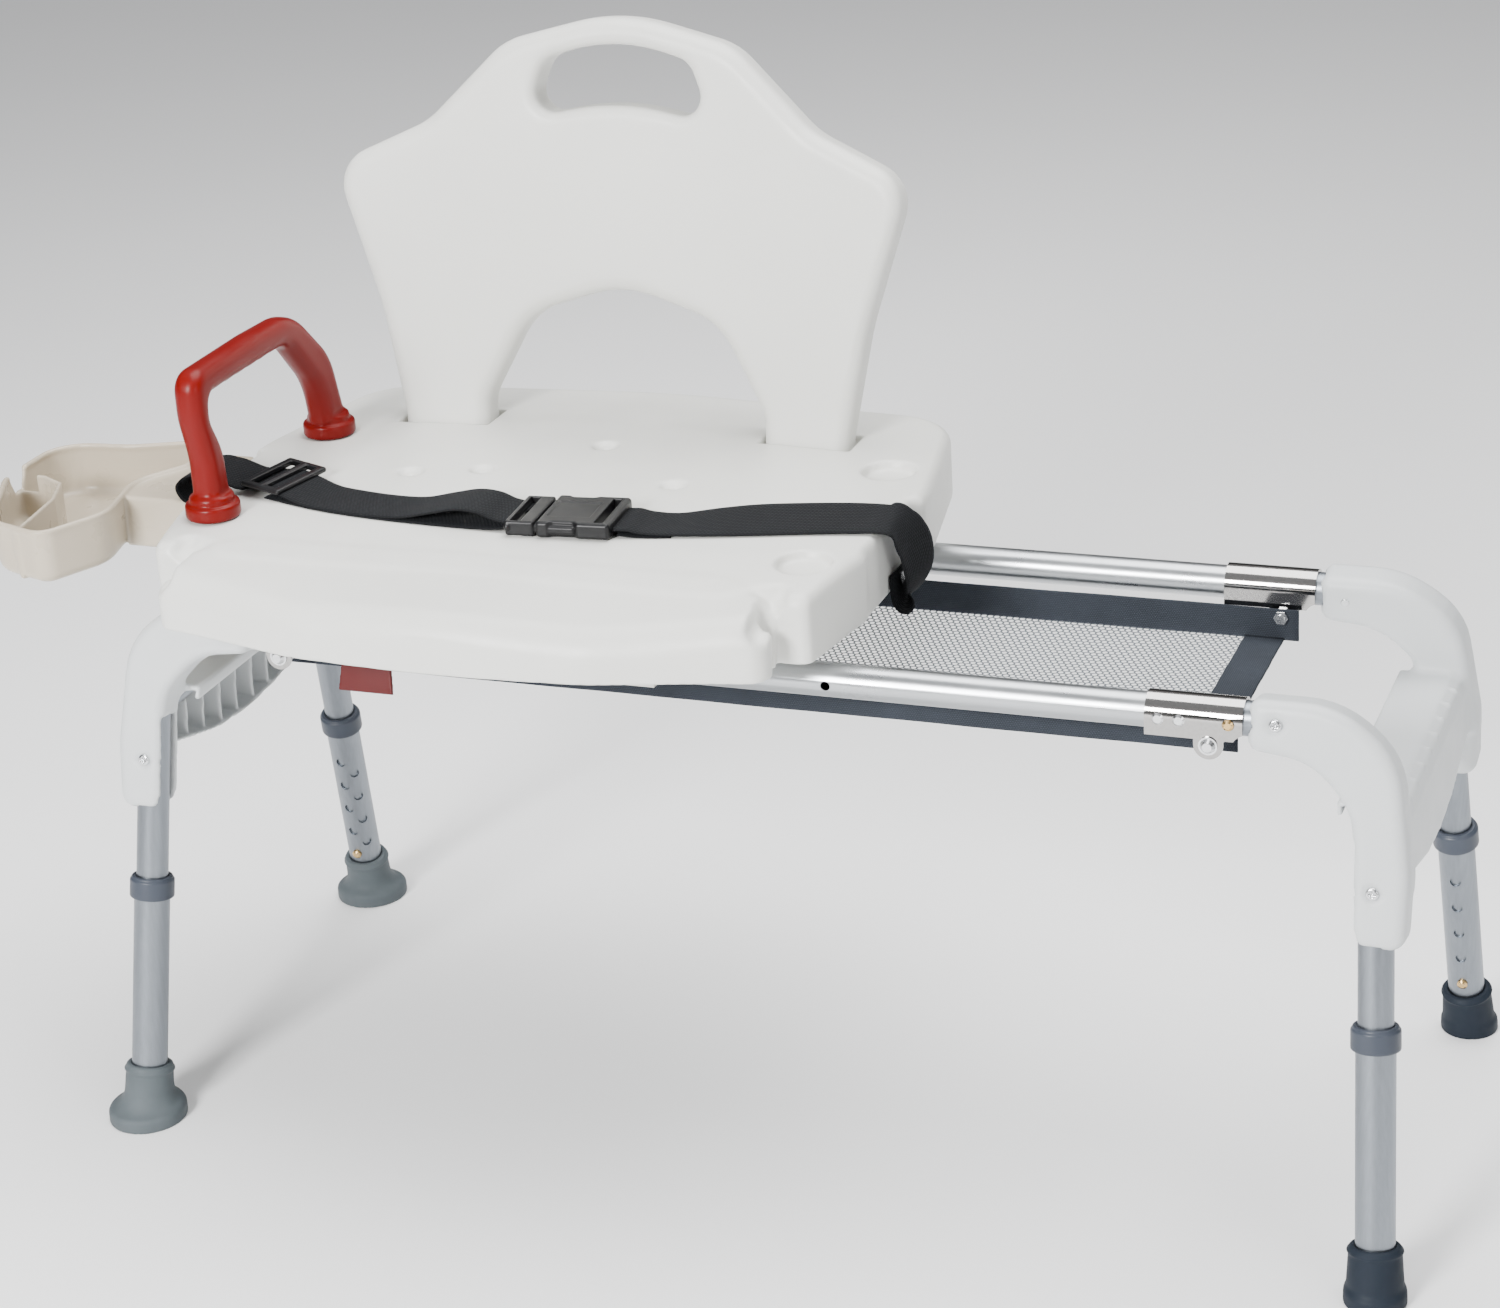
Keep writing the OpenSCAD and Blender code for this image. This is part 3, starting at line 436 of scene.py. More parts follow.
def seat():
    g = Grid((SEAT_X - 300, -232, SEAT_BOTTOM - 6), (SEAT_X + 300, 262, SEAT_TOP + 6), 2.5)
    u = g.x - SEAT_X
    side = np.abs(u)
    reach = np.clip((FRONT_START - g.y) / FRONT_RUN, 0, 1.1)
    thigh = np.cos(np.pi / 2 * np.clip((side - THIGH_U) / THIGH_U, -1, 1)) ** 2
    dip = reach**1.6 * (FRONT_DIP + THIGH_DIP * thigh)
    up = g.z + dip
    main = slab(to_outline(u, g.y, rounded(both_halves(SEAT_HALF))), up, SEAT_BOTTOM, SEAT_TOP, 9, 7)
    lip = slab(to_outline(u, g.y, rounded(both_halves(LIP_HALF))), up, SEAT_BOTTOM, SEAT_TOP - 0.5, 20, 12)
    field = np.maximum(joined(main, lip, 5), SEAT_BOTTOM - g.z)
    notch = capsule(side, g.y, g.z, (240, -146, SEAT_TOP - 4), (243, -190, SEAT_TOP - 16), 7, 12)
    groove = capsule(side, g.y, g.z, (238, -164, SEAT_TOP - 10), (240, -178, SEAT_BOTTOM - 8), 7, 5)
    field = cut(cut(field, notch, 5), groove, 4)
    channel = block(side, g.y, g.z, (279.5, -70, SEAT_BOTTOM - 40), (330, 46, SEAT_TOP + 40), 9)
    field = cut(field, channel, 7)
    for du, dy in DIMPLES:
        dish = np.hypot(u - du, g.y - dy)
        field = cut(field, slab(dish - 9.5, g.z, SEAT_TOP - 3.5, SEAT_TOP + 20, 3), 3)
        field = cut(field, np.maximum(dish - 3, SEAT_TOP - 20 - g.z), 1)
    socket = np.hypot(side - SOCKET_U, np.abs(g.y) - SOCKET_Y)
    empty = slab(socket - 20.5, g.z, SEAT_TOP - 7, SEAT_TOP + 20, 3)
    held = slab(socket - 22.6, g.z, SEAT_TOP - 1.6, SEAT_TOP + 20, 1)
    field = cut(field, np.where(u > 0, empty, held), 3)
    behind = BACK_Y - u**2 / (2 * BACK_CURVE)
    legs = np.maximum(np.abs(side - sum(LEG_SLOTS) / 2) - (LEG_SLOTS[1] - LEG_SLOTS[0]) / 2 - 1.4,
                      np.abs(g.y - behind - BACK_T / 2) - BACK_T / 2 - 1.4)
    field = cut(field, np.maximum(legs, SEAT_TOP - 9 - g.z), 1.5)
    return g.surface(field)


piece("seat", [seat()], MATERIALS["seat"], "seat_plastic", "seat", "seat_shell")


# ---- backrest ----

BACK_HALF = [
    (0, 336, 160), (98, 311, 60), (166, 246, 70), (248, 210, 32), (212, 95, 200), (194, 0, 60),
    (196, -20, 6), (121, -20, 6), (121, 20, 30), (82, 92, 60), (0, 118, 90),
]
HAND_HOLE = [(-80, 250, 16), (0, 266, 200), (80, 250, 16), (62, 298, 20), (0, 316, 150), (-62, 298, 20)]


def backrest():
    g = Grid((-256, -30, -26), (256, 48, 342), 2.5)
    outer = to_outline(g.x, g.z, rounded(both_halves(BACK_HALF)))
    hole = to_outline(g.x, g.z, rounded(HAND_HOLE))
    across = np.hypot(g.x, g.y + BACK_CURVE) - BACK_CURVE - BACK_T / 2
    body = slab(outer, across, -BACK_T / 2, BACK_T / 2, 13.5)
    grip = slab(-hole, across, -BACK_T / 2, BACK_T / 2, 9)
    field = -joined(-body, -grip, 1)
    lean = Matrix.Translation((SEAT_X, BACK_Y, SEAT_TOP)) @ Matrix.Rotation(-math.radians(BACK_LEAN), 4, "X")
    return placed(g.surface(field), lean)


piece("backrest_panel", [backrest()], MATERIALS["seat"], "seat_plastic", "seat", "backrest")


# ---- grab handle ----

HANDLE_OUTER = [
    (-112, 500, 0), (-112, 535, 60), (-121, 570, 60), (-120, 607, 18), (-20, 608, 200), (46, 606, 60),
    (98, 556, 60), (113, 500, 0),
]
HANDLE_INNER = [
    (80, 500, 0), (74, 534, 60), (30, 584, 24), (-98, 584, 9), (-100, 566, 20), (-86, 538, 60), (-84, 500, 0),
]
HANDLE_T = 24
GRIP_BUMPS = 5


def grab_handle():
    x0 = SEAT_X - SOCKET_U
    g = Grid((x0 - 26, -126, SEAT_TOP - 5), (x0 + 26, 126, 614), 1.5)
    outline = np.concatenate([rounded(HANDLE_OUTER), rounded(HANDLE_INNER)])
    d = to_outline(g.y, g.z, outline)
    field = slab(d, g.x - x0, -HANDLE_T / 2, HANDLE_T / 2, 10.4)
    for i in range(GRIP_BUMPS):
        y = -74 + 18 * i
        dent = capsule(g.x, g.y, g.z, (x0 - 30, y, 574), (x0 + 30, y, 574), 11.6)
        field = cut(field, dent, 2)
    for row in (-1, 1):
        away = np.hypot(g.x - x0, g.y - row * SOCKET_Y)
        ring = slab(away - 21.5, g.z, SEAT_TOP - 1, SEAT_TOP + 10.5, 2)
        neck = slab(away - 17.6, g.z, SEAT_TOP - 1, SEAT_TOP + 17, 3)
        field = joined(joined(field, neck, 5), ring, 1)
    return g.surface(field)


piece("grab_rail", [grab_handle()], MATERIALS["red"], "handle_plastic", "seat", "grab_handle")


# ---- hand-shower tray ----

TRAY_LOW, TRAY_HIGH = 440, 485
TRAY = [
    (-548, -162, 16), (-606, -142, 40), (-650, -50, 70), (-650, 36, 34), (-585, 42, 60),
    (-535, 62, 20), (-508, 50, 12), (-512, 5, 20), (-536, -35, 40), (-520, -105, 40),
]
CUP_WALL = [(-652, -34), (-622, -34), (-600, -46), (-586, -80), (-580, -120), (-574, -170)]
TRAY_WALL = 3


def tray():
    g = Grid((-656, -172, TRAY_LOW - 5), (-463, 70, TRAY_HIGH + 5), 1.4)
    rim = to_outline(g.x, g.y, rounded(TRAY))
    drawn_in = (TRAY_HIGH - g.z) * 0.05
    outside = slab(rim + drawn_in, g.z, TRAY_LOW, TRAY_HIGH, 1.4, 8)
    hollow = slab(rim + drawn_in + TRAY_WALL, g.z, TRAY_LOW + TRAY_WALL, TRAY_HIGH + 30, 1, 7)
    field = cut(outside, hollow, 1.5)
    bead = np.hypot(rim + 1.6, g.z - TRAY_HIGH + 2.2) - 2.2
    field = joined(field, bead, 1.5)
    wall = np.maximum(to_line(g.x, g.y, CUP_WALL) - TRAY_WALL / 2, np.maximum(rim + 1, g.z - TRAY_HIGH + 3))
    field = joined(field, np.maximum(wall, TRAY_LOW + 1 - g.z), 4)
    tongue = block(g.x, g.y, g.z, (-540, -66, TRAY_LOW), (-469.8, 44, TRAY_HIGH - 3), 3)
    field = joined(field, np.maximum(tongue, -rim - 2), 3)
    spread = 4 + (g.z - TRAY_HIGH + 20) * 0.45
    cradle = np.maximum(np.abs(g.y + 36) - spread, np.maximum(TRAY_HIGH - 17 - g.z, g.x + 630))
    return g.surface(cut(field, cradle, 3))


piece("shower_and_soap_tray", [tray()], MATERIALS["tray"], "tray_plastic", "seat", "shower_tray")


# ---- end panels ----

ARM = [
    (391, 11, 7), (391, -20, 9), (436, -25, 50), (466, -58, 45), (469, -140, 14), (474, -153, 8),
    (507, -153, 12), (508, -100, 60), (497, -16, 60), (452, 17, 70), (396, 17, 7),
]
ARM_HALF = 16.5
RIB_PITCH = 27
WEB_WALL = 3.4
WEB_BOTTOM = [(0, 276), (50, 280), (100, 292), (130, 300), (150, 300)]


def to_bend(x, across, up):
    """The distance to the axis of a leg tube, in the plane of its leg."""
    rail = np.where(x < BEND_X, np.hypot(across, up), 1e3)
    dx, dz = x - BEND_X, up + BEND_R
    arc = np.hypot(np.hypot(dx, dz) - BEND_R, across)
    arc = np.where((dx > 0) & (np.arctan2(dz, dx) > LEG_SPLAY), arc, 1e3)
    start = (BEND_X + BEND_R * math.cos(LEG_SPLAY), -BEND_R + BEND_R * math.sin(LEG_SPLAY))
    aside = (x - start[0]) * math.cos(LEG_SPLAY) + (up - start[1]) * math.sin(LEG_SPLAY)
    leg = np.where(dz < BEND_R * math.sin(LEG_SPLAY) + 1, np.hypot(aside, across), 1e3)
    return np.minimum(np.minimum(rail, arc), leg)


def end_panel():
    g = Grid((384, -186, 244), (516, 186, 430), 2)
    y = np.abs(g.y)
    dy, dz = y - RAIL_Y, g.z - RAIL_Z
    across = dy * math.cos(LEG_TILT) + dz * math.sin(LEG_TILT)
    up = -dy * math.sin(LEG_TILT) + dz * math.cos(LEG_TILT)
    arm = slab(to_outline(g.x, up, rounded(ARM, 5)), across, -ARM_HALF, ARM_HALF, 9)
    arm_y = RAIL_Y + (RAIL_Z - g.z) * math.tan(LEG_TILT)
    lean = g.x - (WEB_TOP - g.z) * math.tan(LEG_SPLAY)
    profile = [
        (452, 338), (452, WEB_TOP - 1.5), (WEB_X - 8, WEB_TOP - 1.5), (WEB_X - 1, WEB_TOP - 5),
        (WEB_X + 1.5, WEB_TOP - 13), (WEB_X + 1.5, 240),
    ]
    web = to_line(lean, g.z, profile) - WEB_WALL / 2
    bottom = np.interp(y, [p[0] for p in WEB_BOTTOM], [p[1] for p in WEB_BOTTOM]).astype(np.float32)
    web = np.maximum(web, np.maximum(y - arm_y, bottom - g.z))
    web = np.maximum(web, np.where(g.x < 468, y - arm_y + ARM_HALF - 1, -50))
    flange = np.maximum(np.abs(g.z - bottom - 1.2) - 1.2, np.abs(lean - WEB_X + 10) - 12)
    web = joined(web, np.maximum(flange, y - arm_y), 2)
    for i in range(4):
        rib = np.maximum(np.abs(y - RIB_PITCH * (i + 0.5)) - 1.2, np.abs(lean - WEB_X + 9) - 10)
        rib = np.maximum(rib, np.maximum(g.z - WEB_TOP + 1, bottom - g.z))
        web = joined(web, rib, 2)
    web = cut(web, np.hypot(g.x - CROSS_X, g.z - CROSS_Z) - 9, 1)
    field = joined(arm, web, 10)
    tube = to_bend(g.x, across, up)
    field = cut(field, tube - RAIL_R - 0.25, 0.5)
    window = np.maximum(np.abs(across) - 11, np.maximum(up + 78, g.x - 484))
    field = cut(field, window, 3)
    for x, drop in SCREWS:
        seat_d = np.hypot(g.x - x, up - drop)
        field = cut(field, slab(seat_d - 7, across, ARM_HALF - 1.8, ARM_HALF + 20, 0.6), 1.2)
    return g.surface(field)


SCREWS = [(411, 0), (478 + 112 * math.tan(LEG_SPLAY), -112)]


def in_leg_plane(row):
    """From the plane of the right end's leg to the bench: X along the rail, Y out, Z up the leg's plane."""
    return (
        mirror(1, row)
        @ Matrix.Translation((0, RAIL_Y, RAIL_Z))
        @ Matrix.Rotation(LEG_TILT, 4, "X")
    )


def along_leg(row, height):
    """From the leg's own axis to the bench: Z up the axis, the origin this far above the floor along it."""
    length = (RAIL_Z / math.cos(LEG_TILT) - BEND_R + BEND_R * math.sin(LEG_SPLAY)) / math.cos(LEG_SPLAY)
    start = (BEND_X + BEND_R * math.cos(LEG_SPLAY), 0, -BEND_R + BEND_R * math.sin(LEG_SPLAY))
    return (
        in_leg_plane(row)
        @ Matrix.Translation(start)
        @ Matrix.Rotation(-LEG_SPLAY, 4, "Y")
        @ Matrix.Translation((0, 0, height - length))
    )


panel_surface = end_panel()
for side, sign in ENDS.items():
    turned_panel = placed(panel_surface, mirror(sign))
    piece(
        f"{side}_leg_panel", [turned_panel], MATERIALS["panel"], "panel_plastic",
        f"{side}_end", f"{side}_end_panel",
    )


# ---- screws ----


def screw_head(r, height, cross=True):
    """A pan head on Z with a cross recess, standing on z = 0."""
    g = Grid((-r - 2, -r - 2, -1.6), (r + 2, r + 2, height + 1.5), 0.35)
    away = np.hypot(g.x, g.y)
    dome = slab(away - r, g.z, -1, height, height * 0.7, 0.2)
    if cross:
        for a, b in ((g.x, g.y), (g.y, g.x)):
            floor = height * 0.35 + np.abs(b) * 0.3
            slot = np.maximum(np.abs(a) - 0.55, np.maximum(np.abs(b) - r * 0.52, floor - g.z))
            dome = cut(dome, slot, 0.3)
    return g.surface(dome)


HEAD = screw_head(4.8, 2.6)
TIP = screw_head(3.4, 1.2, False)
OUTWARD = Matrix.Rotation(-math.pi / 2, 4, "X")
INWARD = Matrix.Rotation(math.pi / 2, 4, "X")
for side, sign in ENDS.items():
    heads = []
    for row in ROWS.values():
        for x, drop in SCREWS:
            plane = mirror(sign) @ in_leg_plane(row)
            heads.append(placed(HEAD, plane @ Matrix.Translation((x, ARM_HALF - 1.8, drop)) @ OUTWARD))
            heads.append(placed(TIP, plane @ Matrix.Translation((x, -ARM_HALF + 0.6, drop)) @ INWARD))
    piece(
        f"{side}_screw_heads", heads, MATERIALS["zinc"], "bright_zinc",
        f"{side}_end", f"{side}_panel_screws",
    )


# ---- feet and collars ----


def foot(base_r, neck_r, top_r, height, band):
    foot_at = along_leg(1, 0) @ Vector((0, 0, 0))
    up = (along_leg(1, 100) @ Vector((0, 0, 0)) - foot_at).normalized()
    low = (foot_at.x - base_r - 6, foot_at.y - base_r - 10, -3)
    high = (foot_at.x + base_r + 6, foot_at.y + base_r + 6, height + 14)
    g = Grid(low, high, 1.1)
    rise = (g.x - foot_at.x) * up.x + (g.y - foot_at.y) * up.y + g.z * up.z
    aside = np.sqrt(np.maximum((g.x - foot_at.x) ** 2 + (g.y - foot_at.y) ** 2 + g.z**2 - rise**2, 0))
    t = np.clip(rise / height, 0, 1)
    neck = slab(aside - (neck_r + (top_r - neck_r) * t), rise, -20, height, 2.5)
    disc = slab(np.hypot(g.x - foot_at.x, g.y - foot_at.y) - base_r, g.z, 0, 11, 3, 1.5)
    field = joined(neck, disc, 16 if base_r > 26 else 4)
    field = np.maximum(field, -g.z)
    ring = np.hypot(aside - top_r - 0.4, rise - height + band) - 1.1
    field = joined(field, ring, 1.5)
    field = cut(field, np.maximum(aside - 14.4, 16 - rise), 0.6)
    return g.surface(field)


def collar():
    g = Grid((-21, -21, -3), (21, 21, 22), 0.8)
    away = np.hypot(g.x, g.y)
    field = joined(slab(away - 17.75, g.z, 0, 16, 1.6), slab(away - 16.4, g.z, 0, 18, 1.2), 0.8)
    return g.surface(cut(field, away - RAIL_R - 0.15, 0.3))


feet = {
    "left": (foot(31, 20.5, 18.8, 46, 5), "grey_rubber", "foot_rubber_grey"),
    "right": (foot(22, 21.4, 18.8, 42, 4), "dark_rubber", "foot_rubber_dark"),
}
collar_surface = collar()
COLLAR_AT = 186
for side, sign in ENDS.items():
    for row_name, row in ROWS.items():
        key = f"{row_name}_{side}"
        surface, rubber_name, rubber_slot = feet[side]
        body = f"{key}_lower_leg"
        rubber_foot = placed(surface, mirror(sign, row))
        piece(f"{key}_rubber_foot", [rubber_foot], MATERIALS[rubber_name], rubber_slot, body, f"foot_{key}")
        ring = placed(collar_surface, mirror(sign) @ along_leg(row, COLLAR_AT))
        piece(f"{key}_collar", [ring], MATERIALS["slate"], "collar_plastic", body, f"leg_collar_{key}")


# ---- seat lock lever ----

LOCK_X = -265
LEVER_Y, LEVER_Z = -152, 420


def lock_lever():
    g = Grid((LOCK_X - 26, -192, 385), (LOCK_X + 26, -144, 428), 0.7)
    plate = [
        (-151, 422, 0), (-180, 418.5, 6), (-187, 389, 1.2), (-184, 389, 1.2), (-177, 414, 5), (-151, 416, 0),
    ]
    d = to_outline(g.y, g.z, rounded(plate))
    width = 19.5 + np.clip(415 - g.z, 0, 30) * 0.11
    across = np.abs(g.x - LOCK_X) - width
    field = np.maximum(d, across)
    gap = to_outline(g.y, g.z, rounded([(-150, 430, 0), (-172, 430, 0), (-172, 405, 0), (-150, 405, 0)]))
    field = cut(field, np.maximum(gap, np.abs(g.x - LOCK_X) - 5), 1)
    hub = np.maximum(np.hypot(g.y - LEVER_Y, g.z - LEVER_Z) - 5, np.abs(np.abs(g.x - LOCK_X) - 13.5) - 8.5)
    prong = np.maximum(np.abs(g.y - LEVER_Y) - 2.2, np.abs(g.z - 412) - 8)
    prong = np.maximum(prong, np.abs(np.abs(g.x - LOCK_X) - 7.2) - 1.3)
    field = joined(joined(field, hub, 1), prong, 0.5)
    return g.surface(cut(field, np.hypot(g.y - LEVER_Y, g.z - LEVER_Z) - 2.1, 0.2))


piece("release_lever", [lock_lever()], MATERIALS["dark_red"], "lever_plastic", "lock_lever", "lock_lever")


# ---- belt ----


def smooth_path(points, per=8):
    """A curve through [x, y, z, yaw, roll] points; a roll left out is none."""
    points = [(*p, 0)[:5] for p in points]
    p = np.array([points[0]] + points + [points[-1]], float)
    made = []
    for i in range(1, len(p) - 2):
        for t in np.linspace(0, 1, per, endpoint=False):
            a, b, c, d = p[i - 1], p[i], p[i + 1], p[i + 2]
            bend, twist = 2 * a - 5 * b + 4 * c - d, 3 * b - a - 3 * c + d
            made.append(0.5 * (2 * b + (c - a) * t + bend * t * t + twist * t**3))
    made.append(p[-2])
    return np.array(made)


def strap(name, points, width, thick, material, slot, body, *replaced):
    """A flat strap along points, with rounded selvedges, and a UV map in metres."""
    path = smooth_path(points)
    spots, yaw, roll = path[:, :3], np.radians(path[:, 3]), np.radians(path[:, 4])
    along = np.gradient(spots, axis=0)
    along /= np.linalg.norm(along, axis=1)[:, None]
    side = np.stack([-np.sin(yaw), np.cos(yaw), np.tan(roll)], axis=1)
    side -= along * (side * along).sum(1)[:, None]
    side /= np.linalg.norm(side, axis=1)[:, None]
    up = np.cross(along, side)
    across = np.linspace(-1, 1, 15)
    edge = 1 - 0.55 * np.clip((np.abs(across) - 0.9) / 0.1, 0, 1)
    ring = [(a, e) for a, e in zip(across, edge)] + [(a, -e) for a, e in zip(across[::-1], edge[::-1])]
    points_out = []
    for k in range(len(spots)):
        for a, e in ring:
            points_out.append(spots[k] + side[k] * a * width / 2 + up[k] * e * thick / 2)
    n, m = len(spots), len(ring)
    faces = [
        [k * m + i, k * m + (i + 1) % m, (k + 1) * m + (i + 1) % m, (k + 1) * m + i]
        for k in range(n - 1)
        for i in range(m)
    ]
    faces.append(list(range(m))[::-1])
    faces.append([(n - 1) * m + i for i in range(m)])
    obj = mesh_from(name, [(np.array(points_out), faces)])
    far = np.concatenate([[0], np.cumsum(np.linalg.norm(np.diff(spots, axis=0), axis=1))]) * MM
    uv = obj.data.uv_layers.new(name="cloth")
    for loop in obj.data.loops:
        k, i = divmod(loop.vertex_index, m)
        uv.data[loop.index].uv = (far[k], ring[i][0] * width / 2 * MM)
    obj.data.materials.append(material)
    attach(obj, body)
    if replaced:
        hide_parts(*replaced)
    return obj


LEFT_EDGE = SEAT_X - 280
RIGHT_EDGE = SEAT_X + 280
LIES = SEAT_TOP + 1.6
BUCKLE = Vector((-142, -66, LIES))
WEB_T = 1.7
BUCKLE_HALF = 40
LEFT_ROUTE = [
    (LEFT_EDGE - 1.4, -33, 444, 0), (LEFT_EDGE - 1.6, -36, 466, 0), (LEFT_EDGE - 3, -40, 478, 0),
    (LEFT_EDGE - 11, -43, 486, 0), (LEFT_EDGE - 13, -44, 495, 0), (LEFT_EDGE - 5, -43, 502, 0),
    (LEFT_EDGE + 8, -40, 503.5, 0), (-446, -37, 500, -2), (-430, -33, LIES + 5, -5),
    (-416, -32, LIES + 4.6, -8), (-400, -34, LIES + 5.4, -11), (-384, -40, LIES + 3.4, -12),
    (-366, -47, LIES + 0.6, -12), (-350, -52, LIES, -10), (-310, -59, LIES, -6),
    (-276, -62, LIES + 1.5, -2), (-250, -62, LIES + 7, 0), (-228, -62, LIES + 11.5, 0),
    (-210, -63, LIES + 11, 1), (-196, -64, LIES + 7, 3),
    (BUCKLE.x - BUCKLE_HALF + 2, BUCKLE.y, LIES + 5, 5),
]
LEFT_UNDER = [
    (-398, -38, LIES - 0.4, -11), (-350, -52.6, LIES - 0.6, -10), (-310, -60, LIES - 0.6, -6),
    (-270, -64, LIES - 0.6, -2), (-230, -66, LIES - 0.6, 0), (-200, -67, LIES + 0.2, 2),
    (BUCKLE.x - BUCKLE_HALF - 4, BUCKLE.y - 1, LIES + 2, 5),
]
RIGHT_ROUTE = [
    (BUCKLE.x + BUCKLE_HALF - 2, -63, LIES + 5, 5), (-92, -60, LIES + 4.6, 7), (-80, -57, LIES + 1.8, 9),
    (-60, -53, LIES + 0.8, 10), (-30, -46, LIES + 2.4, 11, 5), (0, -38, LIES + 3.4, 12, 8),
    (40, -27, LIES + 3.4, 10, 8), (72, -20, LIES + 3.4, 6, 7), (RIGHT_EDGE - 3, -17, LIES + 3, 2, 5),
    (RIGHT_EDGE + 6, -14, 488.5, -3, 2), (RIGHT_EDGE + 12, -9, 478, -6), (RIGHT_EDGE + 15, -2, 466, -8),
    (RIGHT_EDGE + 16, 5, 453, -8), (RIGHT_EDGE + 15, 9, 440, -6), (RIGHT_EDGE + 11, 9, 429, -4),
    (RIGHT_EDGE + 6, 6, 423, -2), (RIGHT_EDGE + 2.8, 4, 426, 0), (RIGHT_EDGE + 1.6, 3, 434, 0),
    (RIGHT_EDGE + 1.5, 3, 447, 0),
]
RIGHT_UNDER = [
    (BUCKLE.x + BUCKLE_HALF + 2, -62, LIES + 1.8, 6), (-88, -59.5, LIES, 8), (-74, -56.5, LIES - 0.8, 9),
    (-62, -53.4, LIES - 0.9, 10),
]

webbing = MATERIALS["webbing"]
strap("left_strap", LEFT_ROUTE, BELT_W, WEB_T, webbing, "belt_webbing", "seat", "belt_left_strap")
strap("left_strap_return", LEFT_UNDER, BELT_W, WEB_T, webbing, "belt_webbing", "seat")
strap("right_strap", RIGHT_ROUTE, BELT_W, WEB_T, webbing, "belt_webbing", "seat", "belt_right_strap")
strap("right_strap_fold", RIGHT_UNDER, BELT_W, WEB_T, webbing, "belt_webbing", "seat")


def tri_glide():
    g = Grid((-22, -33, -3), (22, 33, 9), 0.6)
    frame_shape = block(g.x, g.y, g.z, (-19, -30.5, 0), (19, 30.5, 4.6), 2)
    for side in (-1, 1):
        slot = block(g.x, g.y, g.z, (side * 8 - 4.6, -25, -9), (side * 8 + 4.6, 25, 19), 1)
        frame_shape = cut(frame_shape, slot, 0.8)
    bar = capsule(g.x, g.y, g.z, (0, -27, 2.8), (0, 27, 2.8), 2.2)
    turn = Matrix.Rotation(math.radians(-12), 4, "Z") @ Matrix.Rotation(math.radians(5), 4, "Y")
    return placed(g.surface(joined(frame_shape, bar, 1)), Matrix.Translation((-402, -32, LIES + 5.2)) @ turn)


piece("tri_glide", [tri_glide()], MATERIALS["black"], "buckle_plastic", "seat", "belt_slide_buckle")


def buckle_half(plug):
    g = Grid((-46, -34, -3), (46, 34, 16), 0.6)
    if plug:
        base = block(g.x, g.y, g.z, (-42, -28.5, -0.8), (-19, 28.5, 11), 2)
        base = cut(base, block(g.x, g.y, g.z, (-38, -25.5, -10), (-30, 25.5, 20), 1), 0.8)
        base = joined(base, capsule(g.x, g.y, g.z, (-40, -27, 6), (-40, 27, 6), 3), 1)
        for y in (-22, 0, 22):
            base = joined(base, block(g.x, g.y, g.z, (-20, y - 5, 2), (14, y + 5, 8), 1.5), 1)
        return g.surface(base)
    shell = block(g.x, g.y, g.z, (-17, -30.5, -0.8), (41, 30.5, 12), 3)
    waist = block(g.x, np.abs(g.y), g.z, (-7, 27, -9), (15, 60, 29), 4)
    shell = cut(shell, waist, 2)
    shell = cut(shell, block(g.x, g.y, g.z, (-30, -27, 2), (18, 27, 9), 1), 0.6)
    shell = cut(shell, block(g.x, g.y, g.z, (28, -25.5, -10), (35, 25.5, 20), 1), 0.8)
    shell = cut(shell, block(g.x, g.y, g.z, (-12, -16, 11.2), (22, 16, 20), 1), 0.5)
    arms = block(g.x, np.abs(g.y), g.z, (-16, 21, 2), (14, 30, 8.5), 2.4)
    return g.surface(joined(shell, arms, 0.5))


turned = Matrix.Translation(BUCKLE) @ Matrix.Rotation(math.radians(5), 4, "Z")
for name, is_plug in (("plug", True), ("socket", False)):
    half = placed(buckle_half(is_plug), turned)
    piece(name, [half], MATERIALS["black"], "buckle_plastic", "seat", f"buckle_{name}")


# ---- sling ----

NET_LOW, NET_HIGH = in_bench("sling_net")
TAPE_LOW, TAPE_HIGH = in_bench("sling_binding")
CELL = 5.2
THREAD = 1.5
NET_SAG = 5.5
TAPE_X = 351
TAPE_W = 30


def sling_net():
    """A flat lattice of threads round hexagonal openings, sagging a little between the rails."""
    pitch_x, pitch_y = CELL, CELL * math.sqrt(3) / 2
    x_count = int((NET_HIGH.x - NET_LOW.x) / pitch_x)
    y_count = int((NET_HIGH.y - NET_LOW.y) / pitch_y)
    points, faces = [], []
    hole, outer = CELL / math.sqrt(3) - THREAD / 2 / math.cos(math.pi / 6), CELL / math.sqrt(3)
    corners = [math.radians(30 + 60 * k) for k in range(6)]
    half_y = (NET_HIGH.y - NET_LOW.y) / 2
    for j in range(y_count):
        for i in range(x_count):
            cx = NET_LOW.x + pitch_x * (i + 0.75 + (0.5 if j % 2 else 0) - 0.25)
            cy = NET_LOW.y + pitch_y * (j + 0.75)
            start = len(points)
            for r in (outer, hole):
                for a in corners:
                    x, y = cx + r * math.cos(a), cy + r * math.sin(a)
                    x = min(max(x, NET_LOW.x - 3), NET_HIGH.x + 3)
                    y = min(max(y, NET_LOW.y - 0.2), NET_HIGH.y + 0.2)
                    along = 2 * (x - NET_LOW.x) / (NET_HIGH.x - NET_LOW.x) - 1
                    sag = NET_SAG * (1 - (y / half_y) ** 2) * (1 - along**4)
                    points.append((x, y, NET_LOW.z + 1.4 - sag))
            for k in range(6):
                after = (k + 1) % 6
                faces.append([start + k, start + after, start + 6 + after, start + 6 + k])
    return np.array(points), faces


